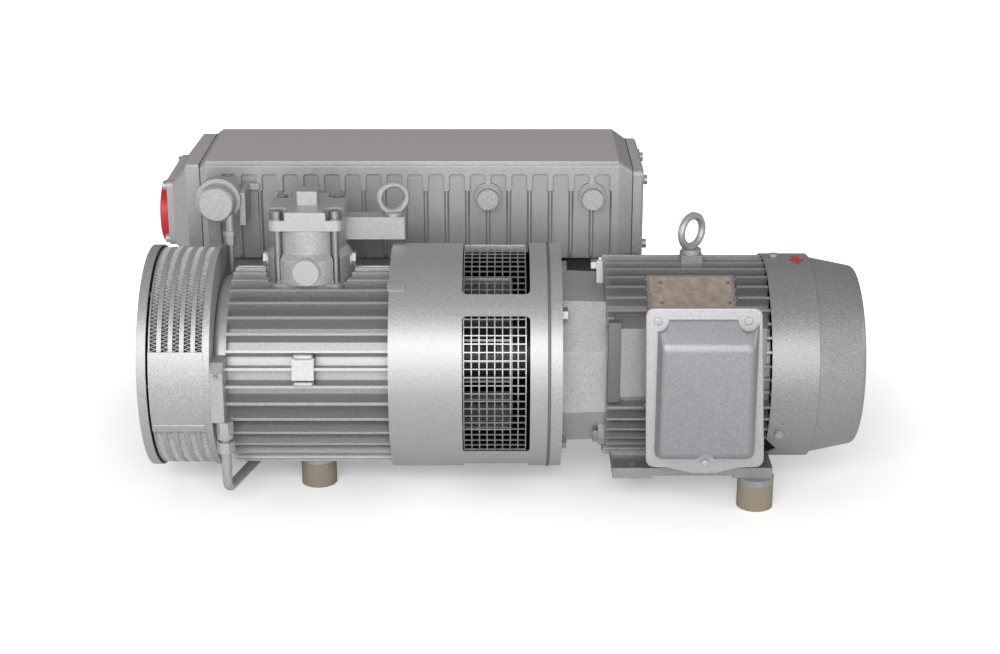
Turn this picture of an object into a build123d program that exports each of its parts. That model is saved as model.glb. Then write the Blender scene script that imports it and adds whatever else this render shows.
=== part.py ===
from build123d import *
import os
from math import atan, cos, degrees, radians, sin, tan

os.makedirs("parts", exist_ok=True)

# Rotary vane vacuum pump on one shaft line with its motor, in millimetres.
# X runs along the shaft from the cooler to the motor's fan, Y to the back, Z up.

# Lengths along the shaft, from left to right
cap_overhang = 18
cooler_length = 94
end_cover_length = 17
cylinder_length = 212
guard_length = 207
flange_length = 18
adapter_length = 58
frame_length = 212
fan_cover_length = 125
total_length = (
    cap_overhang + cooler_length + end_cover_length + cylinder_length + guard_length
    + flange_length + adapter_length + frame_length + fan_cover_length
)

# Reach in front of, behind and below the shaft line
front_reach = 190
back_reach = 348
shaft_height = 175.5

x_left = -total_length / 2
x_cooler = x_left + cap_overhang
x_cover = x_cooler + cooler_length
x_cylinder = x_cover + end_cover_length
x_guard = x_cylinder + cylinder_length
x_flange = x_guard + guard_length
x_adapter = x_flange + flange_length
x_motor = x_adapter + adapter_length
x_fan_cover = x_motor + frame_length
shaft_y = (front_reach - back_reach) / 2

# Fits between pieces
running_fit = 0.05
gap = 0.3

# Pump cylinder, whose bore lies below the shaft line
eccentricity = 13.5
rib_tip_radius = 133
rib_root_radius = 107
rib_tip_width = 4
rib_root_width = 7
rib_sink = 2
rib_count = 36
rib_phase = 7
rotor_radius = 70
bore_radius = rotor_radius + eccentricity + running_fit
inlet_port_radius = 18
inlet_port_drop = 62
inlet_port_shift = 46
boss_size = 29
boss_angle = 17
boss_radius = 135
duct_width = 110
duct_height = 80
duct_bore_width = 90
duct_bore_height = 30
duct_rise = 15

# Covers, bearings and seals of the pump
end_cover_radius = 122
end_cover_round = 8
drive_cover_radius = 118
drive_cover_length = 20
spigot_radius = 112
hub_radius = 45
hub_length = 40
shaft_radius = 20
bearing_radius = 34
bearing_length = 23
seal_radius = 30
seal_length = 10

# Rotor and vanes
vane_count = 3
vane_thickness = 7
vane_depth = 42
vane_start = 60
vane_sink = 0.1

# Inlet on top of the cylinder
inlet_offset = 101
inlet_y = 10
pad_top = 112
pad_size = 98.5
pad_round = 12
pad_depth = 55
pad_margin = 3
base_ring_radius = 57
base_ring_height = 5
lower_body_radius = 56
lower_body_height = 27.7
shoulder_height = 8.3
upper_body_radius = 49
body_top = 185
chamber_radius = 38
chamber_floor = 13
port_radius = 27
cap_size = 98.5
cap_round = 10
lug_height = 14.2
crown_height = 11.5
plug_radius = 29
plug_depth = 16
plug_head_size = 28
plug_head_height = 18.7
bolt_offset = 38
bolt_radius = 4.5
bolt_depth = 20
notch_radius = 6.5
washer_radius = 10
washer_height = 2
screw_head_radius = 7.5
screw_head_height = 9
side_plug_height = 132.8
side_plug_size = 21
side_plug_length = 5
side_boss_radius = 12
front_plug_radius = 17.35
front_plug_length = 4
front_plug_height = 131
disc_radius = 33
disc_height = 4
stem_radius = 4
stem_length = 48
spider_width = 10
spider_height = 9

# Lifting bar and eye bolts
bar_reach = 127
bar_width = 26
bar_center_y = 41
bar_height = 31
bar_eye_radius = 12
eye_inset = 15.8
eye_ring_radius = 18.8
eye_wire_radius = 4.6
eye_collar_radius = 13
eye_collar_height = 5
eye_shank_radius = 5
eye_shank_depth = 18
eye_turn = 15
motor_eye_ring_radius = 20.9
motor_eye_wire_radius = 5.1
motor_eye_turn = 44
motor_eye_lift = 4
eye_sides = 8

# Gas ballast filter and its tube
can_offset = 28.5
can_height = 195
can_rim_radius = 30.5
can_rim_length = 10
can_radius = 25
can_length = 23
can_front = 52
can_edge = 3
bracket_thickness = 8
bracket_lap = 3
bracket_bottom = 157
bracket_top = 203
bracket_arm_reach = 22
bracket_arm_height = 9
bracket_arm_thickness = 5
stub_radius = 6
stub_bottom = 157
fitting_size = 20
fitting_height = 7
nut_size = 16
nut_height = 12
tube_radius = 3.8
tube_x = 6
tube_y = 60
tube_depth = 10

# Ring cooler round the left end
cooler_radius = 149
rim_width = 12
rim_thickness = 2.5
plate_thickness = 3
intake_radius = 78
intake_bars = 12
intake_bar_width = 4
intake_ring_radius = 40
rim_gap = 3
core_outer_radius = 146
core_inner_radius = 118
fin_root_radius = 126
fin_rows = 5
fin_row_width = 8.6
fin_pitch = 14.6
fin_count = 30
fin_thickness = 1.2
header_low = -22.7
header_high = 21
inner_plate_length = 8
inner_plate_hole = 62
fan_radius = 104
core_posts = 6
core_post_radius = 4
fan_disc_length = 3
fan_blade_length = 40
fan_blade_depth = 42
fan_blade_thickness = 2
fan_blade_count = 12
fan_hub_radius = 32

# Oil manifold, fittings and return pipe
manifold_front = 150
manifold_top = 39
manifold_bottom = -40
manifold_chamfer = 12
oil_x = 16
oil_y = -142
oil_hex_size = 22
oil_hex_height = 17
oil_ring_radius = 10.5
oil_ring_height = 7
oil_nut_size = 23
oil_nut_height = 16
oil_nut_gap = 4
pipe_radius = 7.3
pipe_bend = 22
pipe_bottom = -158
pipe_mid_run = 34
pipe_end_run = 60
pipe_end_y = 190

# Fan guard between pump and motor
guard_radius = 151
sheet = 2.5
window_offset = 95
window_length = 88
window_half_angle = 39
window_round = 6
window_angles = (0, 90, 180)
lower_window_angle = 270
lower_window_half_angle = 35
window_reach = 160
guard_hole_radius = 3
guard_hole_angle = 44.5
wire = 1.5
wire_gap = 0.05
mesh_rows = 86
mesh_columns = 9
mesh_pitch = 10.06
mesh_start = 2
hoop_sides = 36
flange_bore_radius = 96
guard_bolt_radius = 132
guard_bolt_size = 19
guard_bolt_height = 7
guard_bolt_angles = (-42, 43, 81, 137, 222)

# Coupling with its fan drum
shaft_gap_x = 119.5
coupling_radius = 45
coupling_length = 50
jaw_length = 20
jaw_inner_radius = 26
jaw_angle = 38
arm_angle = 21.6
drum_radius = 105
drum_length = 88
drum_blades = 24
drum_blade_depth = 18
drum_blade_thickness = 3
drum_disc_length = 3
drum_edge = 1

# Adapter between guard flange and motor
facet_top = 99
facet_top_half = 66
facet_front = 110
facet_front_half = 42
adapter_taper = 2
adapter_bore_radius = 92
lug_length = 9
lug_width = 24
lug_inner_radius = 90
lug_outer_radius = 128
lug_bolt_radius = 121
lug_bolt_size = 17
lug_bolt_height = 7
lug_angles = (-44, 105, 175, 246)

# Motor
frame_root_radius = 118
frame_tip_radius = 135
frame_rib_count = 45
frame_rib_width = 3.4
frame_rib_phase = 5
stator_radius = 96
stator_length = 130
stator_offset = 42
stator_bore_radius = 62
motor_rotor_radius = 61.5
motor_shaft_radius = 19
shield_length = 15
motor_bearing_radius = 31
motor_fan_hub_radius = 26
motor_fan_hub_length = 30
motor_fan_radius = 108
motor_fan_blades = 8
motor_fan_blade_thickness = 3
motor_fan_offset = 8
motor_fan_disc_length = 4
foot_drop = 132
foot_thickness = 14.8
foot_relief = 4
foot_half_width = 118
foot_start = 10
foot_end = 221.5
foot_pad_length = 52
foot_web_width = 150
foot_hole_radius = 5.2
foot_hole_x = 139.7
foot_hole_y = 215.9
foot_hole_start = 26
terminal_pad_start = 9
terminal_pad_end_inset = 1
terminal_pad_length = frame_length - terminal_pad_start - terminal_pad_end_inset
terminal_pad_bottom = -20
terminal_pad_top = 88
terminal_pad_front = 127
terminal_pad_depth = 67
terminal_pad_bevel = 7
terminal_pad_draft = 9
plate_angle = 58
plate_distance = 129
plate_length = 107
plate_width = 55
plate_start = 57.4
plate_boss_margin = 4
name_plate_thickness = 1
eye_block_start = 102
eye_block_size = 28
eye_block_top = 144
eye_block_depth = 44

# Motor fan cover
cover_band_radius = 137
cover_band_length = 61.5
cover_cone_radius = 133
cover_end_radius = 120
cover_round = 6
cover_sheet = 2
notch_angle = 46
notch_depth = 16
notch_half_width = 26
grille_slots = 20
grille_inner_radius = 34
grille_outer_radius = 102
grille_slot_width = 8
cover_screw_angles = (92.8, -29.4, 150.6, 208)
cover_screw_radius = 6
cover_screw_height = 4
cover_screw_inset = 15

# Terminal box on the front of the motor
box_left = 47.5
lid_width = 150.2
lid_bottom = -82
lid_top = 121.9
lid_flange_back = 160
lid_flange_length = 6
lid_round = 14
body_inset = 5
body_wall = 4
dome_left_inset = 12.5
dome_right_inset = 8.7
dome_top_inset = 15
dome_bottom_inset = 6
dome_slope = 30
dome_side_slope = 5.5
dome_round = 8
lid_screw_radius = 5
lid_screw_height = 4
lid_screw_side = 16.3
lid_screw_down = 17
lid_tab_radius = 14
lid_tab_drop = 7
lid_screw_pocket = 10
conduit_radius = 11
lead_hole_radius = 20

# Oil separator box behind pump and motor
box_front = 140
box_back = 338
box_top = 234
box_bottom = 91
box_length = 602.6
box_wall = 6
box_round = 9
end_inset = 4
left_end_bevel = 8
left_end_drop = 6
right_end_bevel = 19
right_end_drop = 13
end_flange_length = 26
end_flange_width = 12
pocket_count = 19
pocket_lead = 3.5
pocket_corner = 5
pocket_shoulder = 191
rib_crest = 2
pocket_pitch = 29
pocket_width = 22
pocket_depth = 7
pocket_top = 215
back_rib_count = 11
back_rib_pitch = 54
back_rib_width = 6
sump_front = 160
sump_back = 325
sump_bottom = -100
sump_start = 14
sump_length = 350
sump_round = 16
service_x = 401.3
service_spacing = 145.7
service_height = 182.9
service_radius = 14.5
service_base_radius = 16.5
service_length = 20
service_base_length = 4
box_gasket = 1.5
service_pad_radius = 19
right_cover_length = 14.6
left_cover_length = 19
left_bevel_length = 22
left_plate_length = 8.5
left_bevel_top = 34
left_bevel_front = 20
left_bevel_bottom = 14
cover_edge = 3
cover_screw_size_radius = 6.5
cover_screw_size_height = 6
cover_screw_points = ((16, 19), (20, 111), (114, 120), (182, 108), (182, 20))
filter_radius = 27
filter_length = 470
filter_count = 3
filter_pitch = 56
filter_plate_x = 100
filter_plate_thickness = 4
filter_mouth_radius = 22
filter_height = 166
exhaust_y = 228
exhaust_z = 138
exhaust_port_radius = 30
exhaust_stub_radius = 38
exhaust_cap_radius = 44.2
exhaust_cap_length = 16
exhaust_cap_edge = 4
exhaust_port_stub = 10
float_radius = 22
float_length = 50
float_arm = 70
float_arm_width = 8
float_arm_height = 4
float_pin_radius = 3
float_valve_x = 200
float_pin_y = 200
float_valve_height = -28
float_bracket_width = 10
valve_slot_width = 14
valve_thickness = 2
leaf_thickness = 1
sight_radius = 20
sight_length = 5
sight_glass_radius = 13
sight_drop = -45
fill_radius = 16
fill_length = 12
fill_rise = 55
drain_size = 24
drain_length = 10
drain_x = 60
oil_filter_radius = 38
oil_filter_length = 110
oil_filter_x = 500
oil_filter_edge = 5
oil_filter_head = 10

# Rubber feet
foot_radius = 24
foot_rubber_height = 34
foot_boss_height = 9.5
pump_foot_offset = 108
pump_foot_y = -28
sump_foot_y = 240
motor_foot_offset = 201
motor_foot_y = 106
foot_thread_radius = 4


def across(x, drop=0):
    """Plane square to the shaft: local x to the back, local y up, from the shaft line."""
    return Plane(origin=(x, shaft_y, shaft_height - drop), x_dir=(0, 1, 0), z_dir=(1, 0, 0))


def facing(y):
    """Upright plane facing the front at a depth from the shaft line: local x right, local y up."""
    return Plane(origin=(0, shaft_y + y, shaft_height), x_dir=(1, 0, 0), z_dir=(0, -1, 0))


def level(z):
    """Flat plane at a height from the shaft line: local x right, local y to the back."""
    return Plane(origin=(0, shaft_y, shaft_height + z), x_dir=(1, 0, 0), z_dir=(0, 0, 1))


def outward(x, angle, distance, drop=0):
    """Plane facing out from the shaft line, at an angle counted up from the front."""
    way = Vector(0, -cos(radians(angle)), sin(radians(angle)))
    start = Vector(x, shaft_y, shaft_height - drop) + way * distance
    return Plane(origin=start, x_dir=(1, 0, 0), z_dir=way)


shaft_line = Axis((0, shaft_y, shaft_height), (1, 0, 0))
x_inlet = x_cylinder + inlet_offset
x_shaft_gap = x_guard + shaft_gap_x
x_box = (
    x_left + exhaust_cap_length + left_plate_length + left_bevel_length
    + left_cover_length + box_gasket
)
x_box_end = x_box + box_length
x_pump_foot = x_cylinder + pump_foot_offset
x_motor_foot = x_motor + motor_foot_offset
tube_bottom = tube_y + tube_depth
foot_pad_drop = shaft_height - foot_rubber_height

# Ribbed cylinder with pads for inlet, foot and exhaust duct
with BuildPart() as pump_cylinder:
    with BuildSketch(across(x_cylinder, eccentricity)):
        Circle(rib_root_radius)
        with PolarLocations(0, rib_count, start_angle=180 - rib_phase):
            Polygon(
                (rib_root_radius - rib_sink, -rib_root_width / 2),
                (rib_tip_radius, -rib_tip_width / 2),
                (rib_tip_radius, rib_tip_width / 2),
                (rib_root_radius - rib_sink, rib_root_width / 2),
            )
    extrude(amount=cylinder_length)
    with BuildSketch(level(pad_top)):
        with Locations((x_inlet, inlet_y)):
            Circle(base_ring_radius + pad_margin)
            Rectangle(pad_size + 2 * pad_margin, pad_size + 2 * pad_margin)
    extrude(amount=rib_tip_radius, mode=Mode.SUBTRACT)
    with BuildSketch(level(pad_top)):
        with Locations((x_inlet, inlet_y)):
            RectangleRounded(pad_size, pad_size, pad_round)
    extrude(amount=-pad_depth)
    with BuildSketch(level(-foot_pad_drop)):
        with Locations((x_pump_foot, pump_foot_y)):
            Circle(foot_radius + rib_sink)
    extrude(amount=-rib_tip_radius, mode=Mode.SUBTRACT)
    with BuildSketch(level(-foot_pad_drop)):
        with Locations((x_pump_foot, pump_foot_y)):
            Circle(foot_radius)
    extrude(amount=foot_pad_drop - bore_radius - eccentricity)
    with BuildSketch(facing(sump_front)):
        with Locations((x_inlet, duct_rise)):
            Rectangle(duct_width, duct_height)
    extrude(amount=sump_front - bore_radius)
    with BuildSketch(outward(x_inlet, boss_angle, rib_root_radius - rib_sink, eccentricity)):
        Rectangle(boss_size, boss_size)
    extrude(amount=boss_radius - rib_root_radius + rib_sink)
    with BuildSketch(across(x_cylinder, eccentricity)):
        Circle(bore_radius)
    extrude(amount=cylinder_length, mode=Mode.SUBTRACT)
    with BuildSketch(
        Plane(
            origin=(x_inlet, shaft_y + inlet_y, shaft_height + pad_top),
            x_dir=(1, 0, 0),
            z_dir=(0, -inlet_port_shift, -inlet_port_drop),
        )
    ):
        Circle(inlet_port_radius)
    extrude(amount=inlet_port_drop, both=True, mode=Mode.SUBTRACT)
    with BuildSketch(facing(sump_front)):
        with Locations((x_inlet, duct_rise)):
            Rectangle(duct_bore_width, duct_bore_height)
    extrude(amount=sump_front - bore_radius / 2, mode=Mode.SUBTRACT)
    with BuildSketch(level(pad_top)):
        with Locations((x_inlet, inlet_y)):
            with GridLocations(2 * bolt_offset, 2 * bolt_offset, 2, 2):
                Circle(bolt_radius)
    extrude(amount=-bolt_depth, mode=Mode.SUBTRACT)
pump_cylinder.part.label = "pump_cylinder"
export_step(pump_cylinder.part, "parts/pump_cylinder.step")

# Left end cover with bearing hub
with BuildPart() as pump_end_cover:
    with BuildSketch(across(x_cover, eccentricity)):
        Circle(end_cover_radius)
    extrude(amount=end_cover_length)
    fillet(pump_end_cover.edges().group_by(Axis.X)[0], end_cover_round)
    with BuildSketch(across(x_cylinder - hub_length)):
        Circle(hub_radius)
    extrude(amount=hub_length)
    with BuildSketch(across(x_cylinder)):
        Circle(bearing_radius)
    extrude(amount=-bearing_length, mode=Mode.SUBTRACT)
    with BuildSketch(across(x_cylinder - bearing_length)):
        Circle(seal_radius)
    extrude(amount=-seal_length, mode=Mode.SUBTRACT)
    with BuildSketch(across(x_cylinder)):
        Circle(shaft_radius + 1)
    extrude(amount=-hub_length, mode=Mode.SUBTRACT)
    with BuildSketch(level(tube_bottom)):
        with Locations((x_cover + tube_x, tube_y)):
            Circle(tube_radius)
    extrude(amount=end_cover_radius, mode=Mode.SUBTRACT)
pump_end_cover.part.label = "pump_end_cover"
export_step(pump_end_cover.part, "parts/pump_end_cover.step")

# Right end cover, seated through the guard's end wall
with BuildPart() as pump_drive_cover:
    with BuildSketch(across(x_guard, eccentricity)):
        Circle(spigot_radius)
    extrude(amount=sheet)
    with BuildSketch(across(x_guard + sheet, eccentricity)):
        Circle(drive_cover_radius)
    extrude(amount=drive_cover_length)
    with BuildSketch(across(x_guard + sheet)):
        Circle(hub_radius)
    extrude(amount=hub_length - sheet)
    with BuildSketch(across(x_guard)):
        Circle(bearing_radius)
    extrude(amount=bearing_length, mode=Mode.SUBTRACT)
    with BuildSketch(across(x_guard + bearing_length)):
        Circle(seal_radius)
    extrude(amount=seal_length, mode=Mode.SUBTRACT)
    with BuildSketch(across(x_guard)):
        Circle(shaft_radius + 1)
    extrude(amount=hub_length, mode=Mode.SUBTRACT)
pump_drive_cover.part.label = "pump_drive_cover"
export_step(pump_drive_cover.part, "parts/pump_drive_cover.step")

# Shaft seals in both covers of the pump
with BuildPart() as shaft_seals:
    with BuildSketch(
        across(x_cylinder - bearing_length - seal_length),
        across(x_guard + bearing_length),
    ):
        Circle(seal_radius)
        Circle(shaft_radius + running_fit, mode=Mode.SUBTRACT)
    extrude(amount=seal_length)
shaft_seals.part.label = "shaft_seals"
export_step(shaft_seals.part, "parts/shaft_seals.step")

# Rotor with its shaft and three vane slots
x_shaft_left = x_cooler + rim_width + rim_gap
with BuildPart() as pump_rotor:
    with BuildSketch(across(x_cylinder + gap)):
        Circle(rotor_radius)
        with PolarLocations(rotor_radius - vane_depth / 2, vane_count, start_angle=vane_start):
            Rectangle(vane_depth + 2 * gap, vane_thickness + 2 * running_fit, mode=Mode.SUBTRACT)
    extrude(amount=cylinder_length - 2 * gap)
    with BuildSketch(across(x_shaft_left)):
        Circle(shaft_radius)
    extrude(amount=x_shaft_gap - x_shaft_left)
pump_rotor.part.label = "pump_rotor"
export_step(pump_rotor.part, "parts/pump_rotor.step")

vane_radius = rotor_radius - vane_sink - vane_depth / 2
vane_turn = 360 / vane_count
with BuildPart() as vane_upper:
    with BuildSketch(across(x_cylinder + 2 * gap)):
        with PolarLocations(vane_radius, 1, start_angle=vane_start):
            Rectangle(vane_depth, vane_thickness)
    extrude(amount=cylinder_length - 4 * gap)
vane_upper.part.label = "vane_upper"
export_step(vane_upper.part, "parts/vane_upper.step")

with BuildPart() as vane_front:
    with BuildSketch(across(x_cylinder + 2 * gap)):
        with PolarLocations(vane_radius, 1, start_angle=vane_start + vane_turn):
            Rectangle(vane_depth, vane_thickness)
    extrude(amount=cylinder_length - 4 * gap)
vane_front.part.label = "vane_front"
export_step(vane_front.part, "parts/vane_front.step")

with BuildPart() as vane_lower:
    with BuildSketch(across(x_cylinder + 2 * gap)):
        with PolarLocations(vane_radius, 1, start_angle=vane_start + 2 * vane_turn):
            Rectangle(vane_depth, vane_thickness)
    extrude(amount=cylinder_length - 4 * gap)
vane_lower.part.label = "vane_lower"
export_step(vane_lower.part, "parts/vane_lower.step")

# Inlet: body on its base ring, valve disc, cap, plug and long bolts
body_bottom = pad_top + base_ring_height
with BuildPart() as inlet_body:
    with BuildSketch(level(pad_top)):
        with Locations((x_inlet, inlet_y)):
            Circle(base_ring_radius)
    extrude(amount=base_ring_height)
    with BuildSketch(level(body_bottom)):
        with Locations((x_inlet, inlet_y)):
            Circle(lower_body_radius)
    extrude(amount=lower_body_height)
    with Locations(level(body_bottom + lower_body_height) * Location((x_inlet, inlet_y, 0))):
        Cone(
            lower_body_radius, upper_body_radius, shoulder_height,
            align=(Align.CENTER, Align.CENTER, Align.MIN),
        )
    with BuildSketch(level(body_bottom + lower_body_height + shoulder_height)):
        with Locations((x_inlet, inlet_y)):
            Circle(upper_body_radius)
    extrude(amount=body_top - body_bottom - lower_body_height - shoulder_height)
    with BuildSketch(Plane.YZ.offset(x_inlet).shift_origin((x_inlet, shaft_y + inlet_y, 0))):
        with Locations((0, shaft_height + side_plug_height)):
            Circle(side_boss_radius)
    extrude(amount=base_ring_radius, both=True)
    with BuildSketch(facing(inlet_y)):
        with Locations((x_inlet, front_plug_height)):
            Circle(front_plug_radius + 1)
    extrude(amount=base_ring_radius)
    with BuildSketch(level(pad_top)):
        with Locations((x_inlet, inlet_y)):
            Circle(port_radius)
            with GridLocations(2 * bolt_offset, 2 * bolt_offset, 2, 2):
                Circle(notch_radius)
    extrude(amount=body_top - pad_top, mode=Mode.SUBTRACT)
    with BuildSketch(level(body_bottom + chamber_floor)):
        with Locations((x_inlet, inlet_y)):
            Circle(chamber_radius)
    extrude(amount=body_top - body_bottom - chamber_floor, mode=Mode.SUBTRACT)
    with BuildSketch(level(body_bottom)):
        with Locations((x_inlet, inlet_y)):
            Rectangle(2 * port_radius + 2, spider_width)
            Circle(stem_radius + running_fit, mode=Mode.SUBTRACT)
    extrude(amount=spider_height)
inlet_body.part.label = "inlet_body"
export_step(inlet_body.part, "parts/inlet_body.step")

with BuildPart() as inlet_valve_disc:
    with BuildSketch(level(body_top - gap)):
        with Locations((x_inlet, inlet_y)):
            Circle(disc_radius)
    extrude(amount=-disc_height)
    with BuildSketch(level(body_top - gap - disc_height)):
        with Locations((x_inlet, inlet_y)):
            Circle(stem_radius)
    extrude(amount=-stem_length)
inlet_valve_disc.part.label = "inlet_valve_disc"
export_step(inlet_valve_disc.part, "parts/inlet_valve_disc.step")

cap_top = body_top + lug_height
crown_top = cap_top + crown_height
with BuildPart() as inlet_cap:
    with BuildSketch(level(body_top)):
        with Locations((x_inlet, inlet_y)):
            RectangleRounded(cap_size, cap_size, cap_round)
    extrude(amount=crown_top - body_top)
    with BuildSketch(level(cap_top)):
        with Locations((x_inlet, inlet_y)):
            with GridLocations(2 * bolt_offset, 2 * bolt_offset, 2, 2):
                RectangleRounded(2.8 * washer_radius, 2.8 * washer_radius, washer_radius)
    extrude(amount=crown_height, mode=Mode.SUBTRACT)
    chamfer(inlet_cap.faces().sort_by(Axis.Z)[-1].edges(), 1)
    with BuildSketch(level(body_top)):
        with Locations((x_inlet, inlet_y)):
            Circle(port_radius)
            with GridLocations(2 * bolt_offset, 2 * bolt_offset, 2, 2):
                Circle(bolt_radius)
    extrude(amount=crown_top - body_top, mode=Mode.SUBTRACT)
    with BuildSketch(level(crown_top)):
        with Locations((x_inlet, inlet_y)):
            Circle(plug_radius)
    extrude(amount=-plug_depth, mode=Mode.SUBTRACT)
inlet_cap.part.label = "inlet_cap"
export_step(inlet_cap.part, "parts/inlet_cap.step")

with BuildPart() as inlet_plug:
    with BuildSketch(level(crown_top)):
        with Locations((x_inlet, inlet_y)):
            Circle(plug_radius)
    extrude(amount=-plug_depth)
    with BuildSketch(level(crown_top)):
        with Locations((x_inlet, inlet_y)):
            RectangleRounded(plug_head_size, plug_head_size, 2)
    extrude(amount=plug_head_height)
inlet_plug.part.label = "inlet_plug"
export_step(inlet_plug.part, "parts/inlet_plug.step")

with BuildPart() as inlet_bolts:
    with BuildSketch(level(cap_top)):
        with Locations((x_inlet, inlet_y)):
            with GridLocations(2 * bolt_offset, 2 * bolt_offset, 2, 2):
                Circle(bolt_radius)
    extrude(amount=-(cap_top - pad_top + bolt_depth))
    with BuildSketch(level(cap_top)):
        with Locations((x_inlet, inlet_y)):
            with GridLocations(2 * bolt_offset, 2 * bolt_offset, 2, 2):
                Circle(washer_radius)
    extrude(amount=washer_height)
    with BuildSketch(level(cap_top + washer_height)):
        with Locations((x_inlet, inlet_y)):
            with GridLocations(2 * bolt_offset, 2 * bolt_offset, 2, 2):
                Circle(screw_head_radius)
    extrude(amount=screw_head_height)
inlet_bolts.part.label = "inlet_bolts"
export_step(inlet_bolts.part, "parts/inlet_bolts.step")

with BuildPart() as inlet_side_plugs:
    with BuildSketch(
        across(x_inlet + base_ring_radius),
        across(x_inlet - base_ring_radius - side_plug_length),
    ):
        with Locations((inlet_y, side_plug_height)):
            RegularPolygon(side_plug_size / 2, 6)
    extrude(amount=side_plug_length)
    with BuildSketch(facing(inlet_y - base_ring_radius)):
        with Locations((x_inlet, front_plug_height)):
            Circle(front_plug_radius)
    extrude(amount=front_plug_length)
inlet_side_plugs.part.label = "inlet_side_plugs"
export_step(inlet_side_plugs.part, "parts/inlet_side_plugs.step")

# Lifting bar clamped under the inlet cap by one long bolt
x_bar_end = x_inlet + bar_reach
with BuildPart() as lifting_bar:
    with BuildSketch(level(body_top - bar_height)):
        with Locations((x_bar_end, bar_center_y)):
            Rectangle(bar_reach - bolt_offset, bar_width, align=(Align.MAX, Align.CENTER))
        with Locations((x_inlet + bolt_offset, inlet_y + bolt_offset)):
            Circle(bar_eye_radius)
            Circle(bolt_radius, mode=Mode.SUBTRACT)
        with Locations((x_inlet, inlet_y)):
            Circle(upper_body_radius + gap, mode=Mode.SUBTRACT)
        with Locations((x_bar_end - eye_inset, bar_center_y)):
            Circle(eye_shank_radius, mode=Mode.SUBTRACT)
    extrude(amount=bar_height)
lifting_bar.part.label = "lifting_bar"
export_step(lifting_bar.part, "parts/lifting_bar.step")

x_pump_eye = x_bar_end - eye_inset
pump_eye_z = body_top + eye_ring_radius + eye_wire_radius
with BuildPart() as pump_lifting_eye:
    with BuildSketch(level(body_top)):
        with Locations((x_pump_eye, bar_center_y)):
            Circle(eye_collar_radius)
    extrude(amount=eye_collar_height)
    with BuildSketch(level(body_top)):
        with Locations((x_pump_eye, bar_center_y)):
            Circle(eye_shank_radius)
    extrude(amount=-eye_shank_depth)
    with BuildSketch(
        Plane(
            origin=(x_pump_eye, shaft_y + bar_center_y, shaft_height + pump_eye_z),
            x_dir=(cos(radians(eye_turn)), sin(radians(eye_turn)), 0),
            z_dir=(0, 0, 1),
        )
    ):
        with Locations((eye_ring_radius, 0)):
            RegularPolygon(eye_wire_radius, eye_sides, rotation=180 / eye_sides)
    revolve(
        axis=Axis(
            (x_pump_eye, shaft_y + bar_center_y, shaft_height + pump_eye_z),
            (-sin(radians(eye_turn)), cos(radians(eye_turn)), 0),
        )
    )
pump_lifting_eye.part.label = "pump_lifting_eye"
export_step(pump_lifting_eye.part, "parts/pump_lifting_eye.step")

# Gas ballast filter on its bracket, with the fitting and tube below it
x_can = x_cylinder - can_offset
x_bracket = x_can + can_rim_radius - bracket_lap
can_back = can_front + can_length + can_rim_length
with BuildPart() as ballast_bracket:
    with BuildSketch(level(bracket_bottom)):
        with Locations((x_bracket, box_front)):
            Rectangle(bracket_thickness, box_front - can_back, align=(Align.MIN, Align.MAX))
    extrude(amount=bracket_top - bracket_bottom)
    with BuildSketch(facing(box_front - bracket_arm_thickness)):
        with Locations((x_bracket, bracket_top)):
            Rectangle(bracket_arm_reach, bracket_arm_height, align=(Align.MIN, Align.MAX))
    extrude(amount=-bracket_arm_thickness)
    with BuildSketch(facing(can_back)):
        with Locations((x_can, can_height)):
            Circle(can_rim_radius)
    extrude(amount=-bracket_thickness)
ballast_bracket.part.label = "ballast_bracket"
export_step(ballast_bracket.part, "parts/ballast_bracket.step")

with BuildPart() as ballast_filter:
    with BuildSketch(facing(can_back)):
        with Locations((x_can, can_height)):
            Circle(can_rim_radius)
    extrude(amount=can_rim_length)
    with BuildSketch(facing(can_front + can_length)):
        with Locations((x_can, can_height)):
            Circle(can_radius)
    extrude(amount=can_length)
    chamfer(ballast_filter.edges().group_by(Axis.Y)[0], can_edge)
    with BuildSketch(level(stub_bottom)):
        with Locations((x_cover + tube_x, tube_y)):
            Circle(stub_radius)
    extrude(amount=can_height - can_radius / 2 - stub_bottom)
ballast_filter.part.label = "ballast_filter"
export_step(ballast_filter.part, "parts/ballast_filter.step")

with BuildPart() as ballast_line:
    with BuildSketch(level(stub_bottom)):
        with Locations((x_cover + tube_x, tube_y)):
            RegularPolygon(fitting_size / 2, 6)
    extrude(amount=-fitting_height)
    with BuildSketch(level(stub_bottom - fitting_height)):
        with Locations((x_cover + tube_x, tube_y)):
            RegularPolygon(nut_size / 2, 6)
    extrude(amount=-nut_height)
    with BuildSketch(level(tube_bottom)):
        with Locations((x_cover + tube_x, tube_y)):
            Circle(tube_radius)
    extrude(amount=stub_bottom - fitting_height - nut_height - tube_bottom)
ballast_line.part.label = "ballast_line"
export_step(ballast_line.part, "parts/ballast_line.step")

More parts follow.
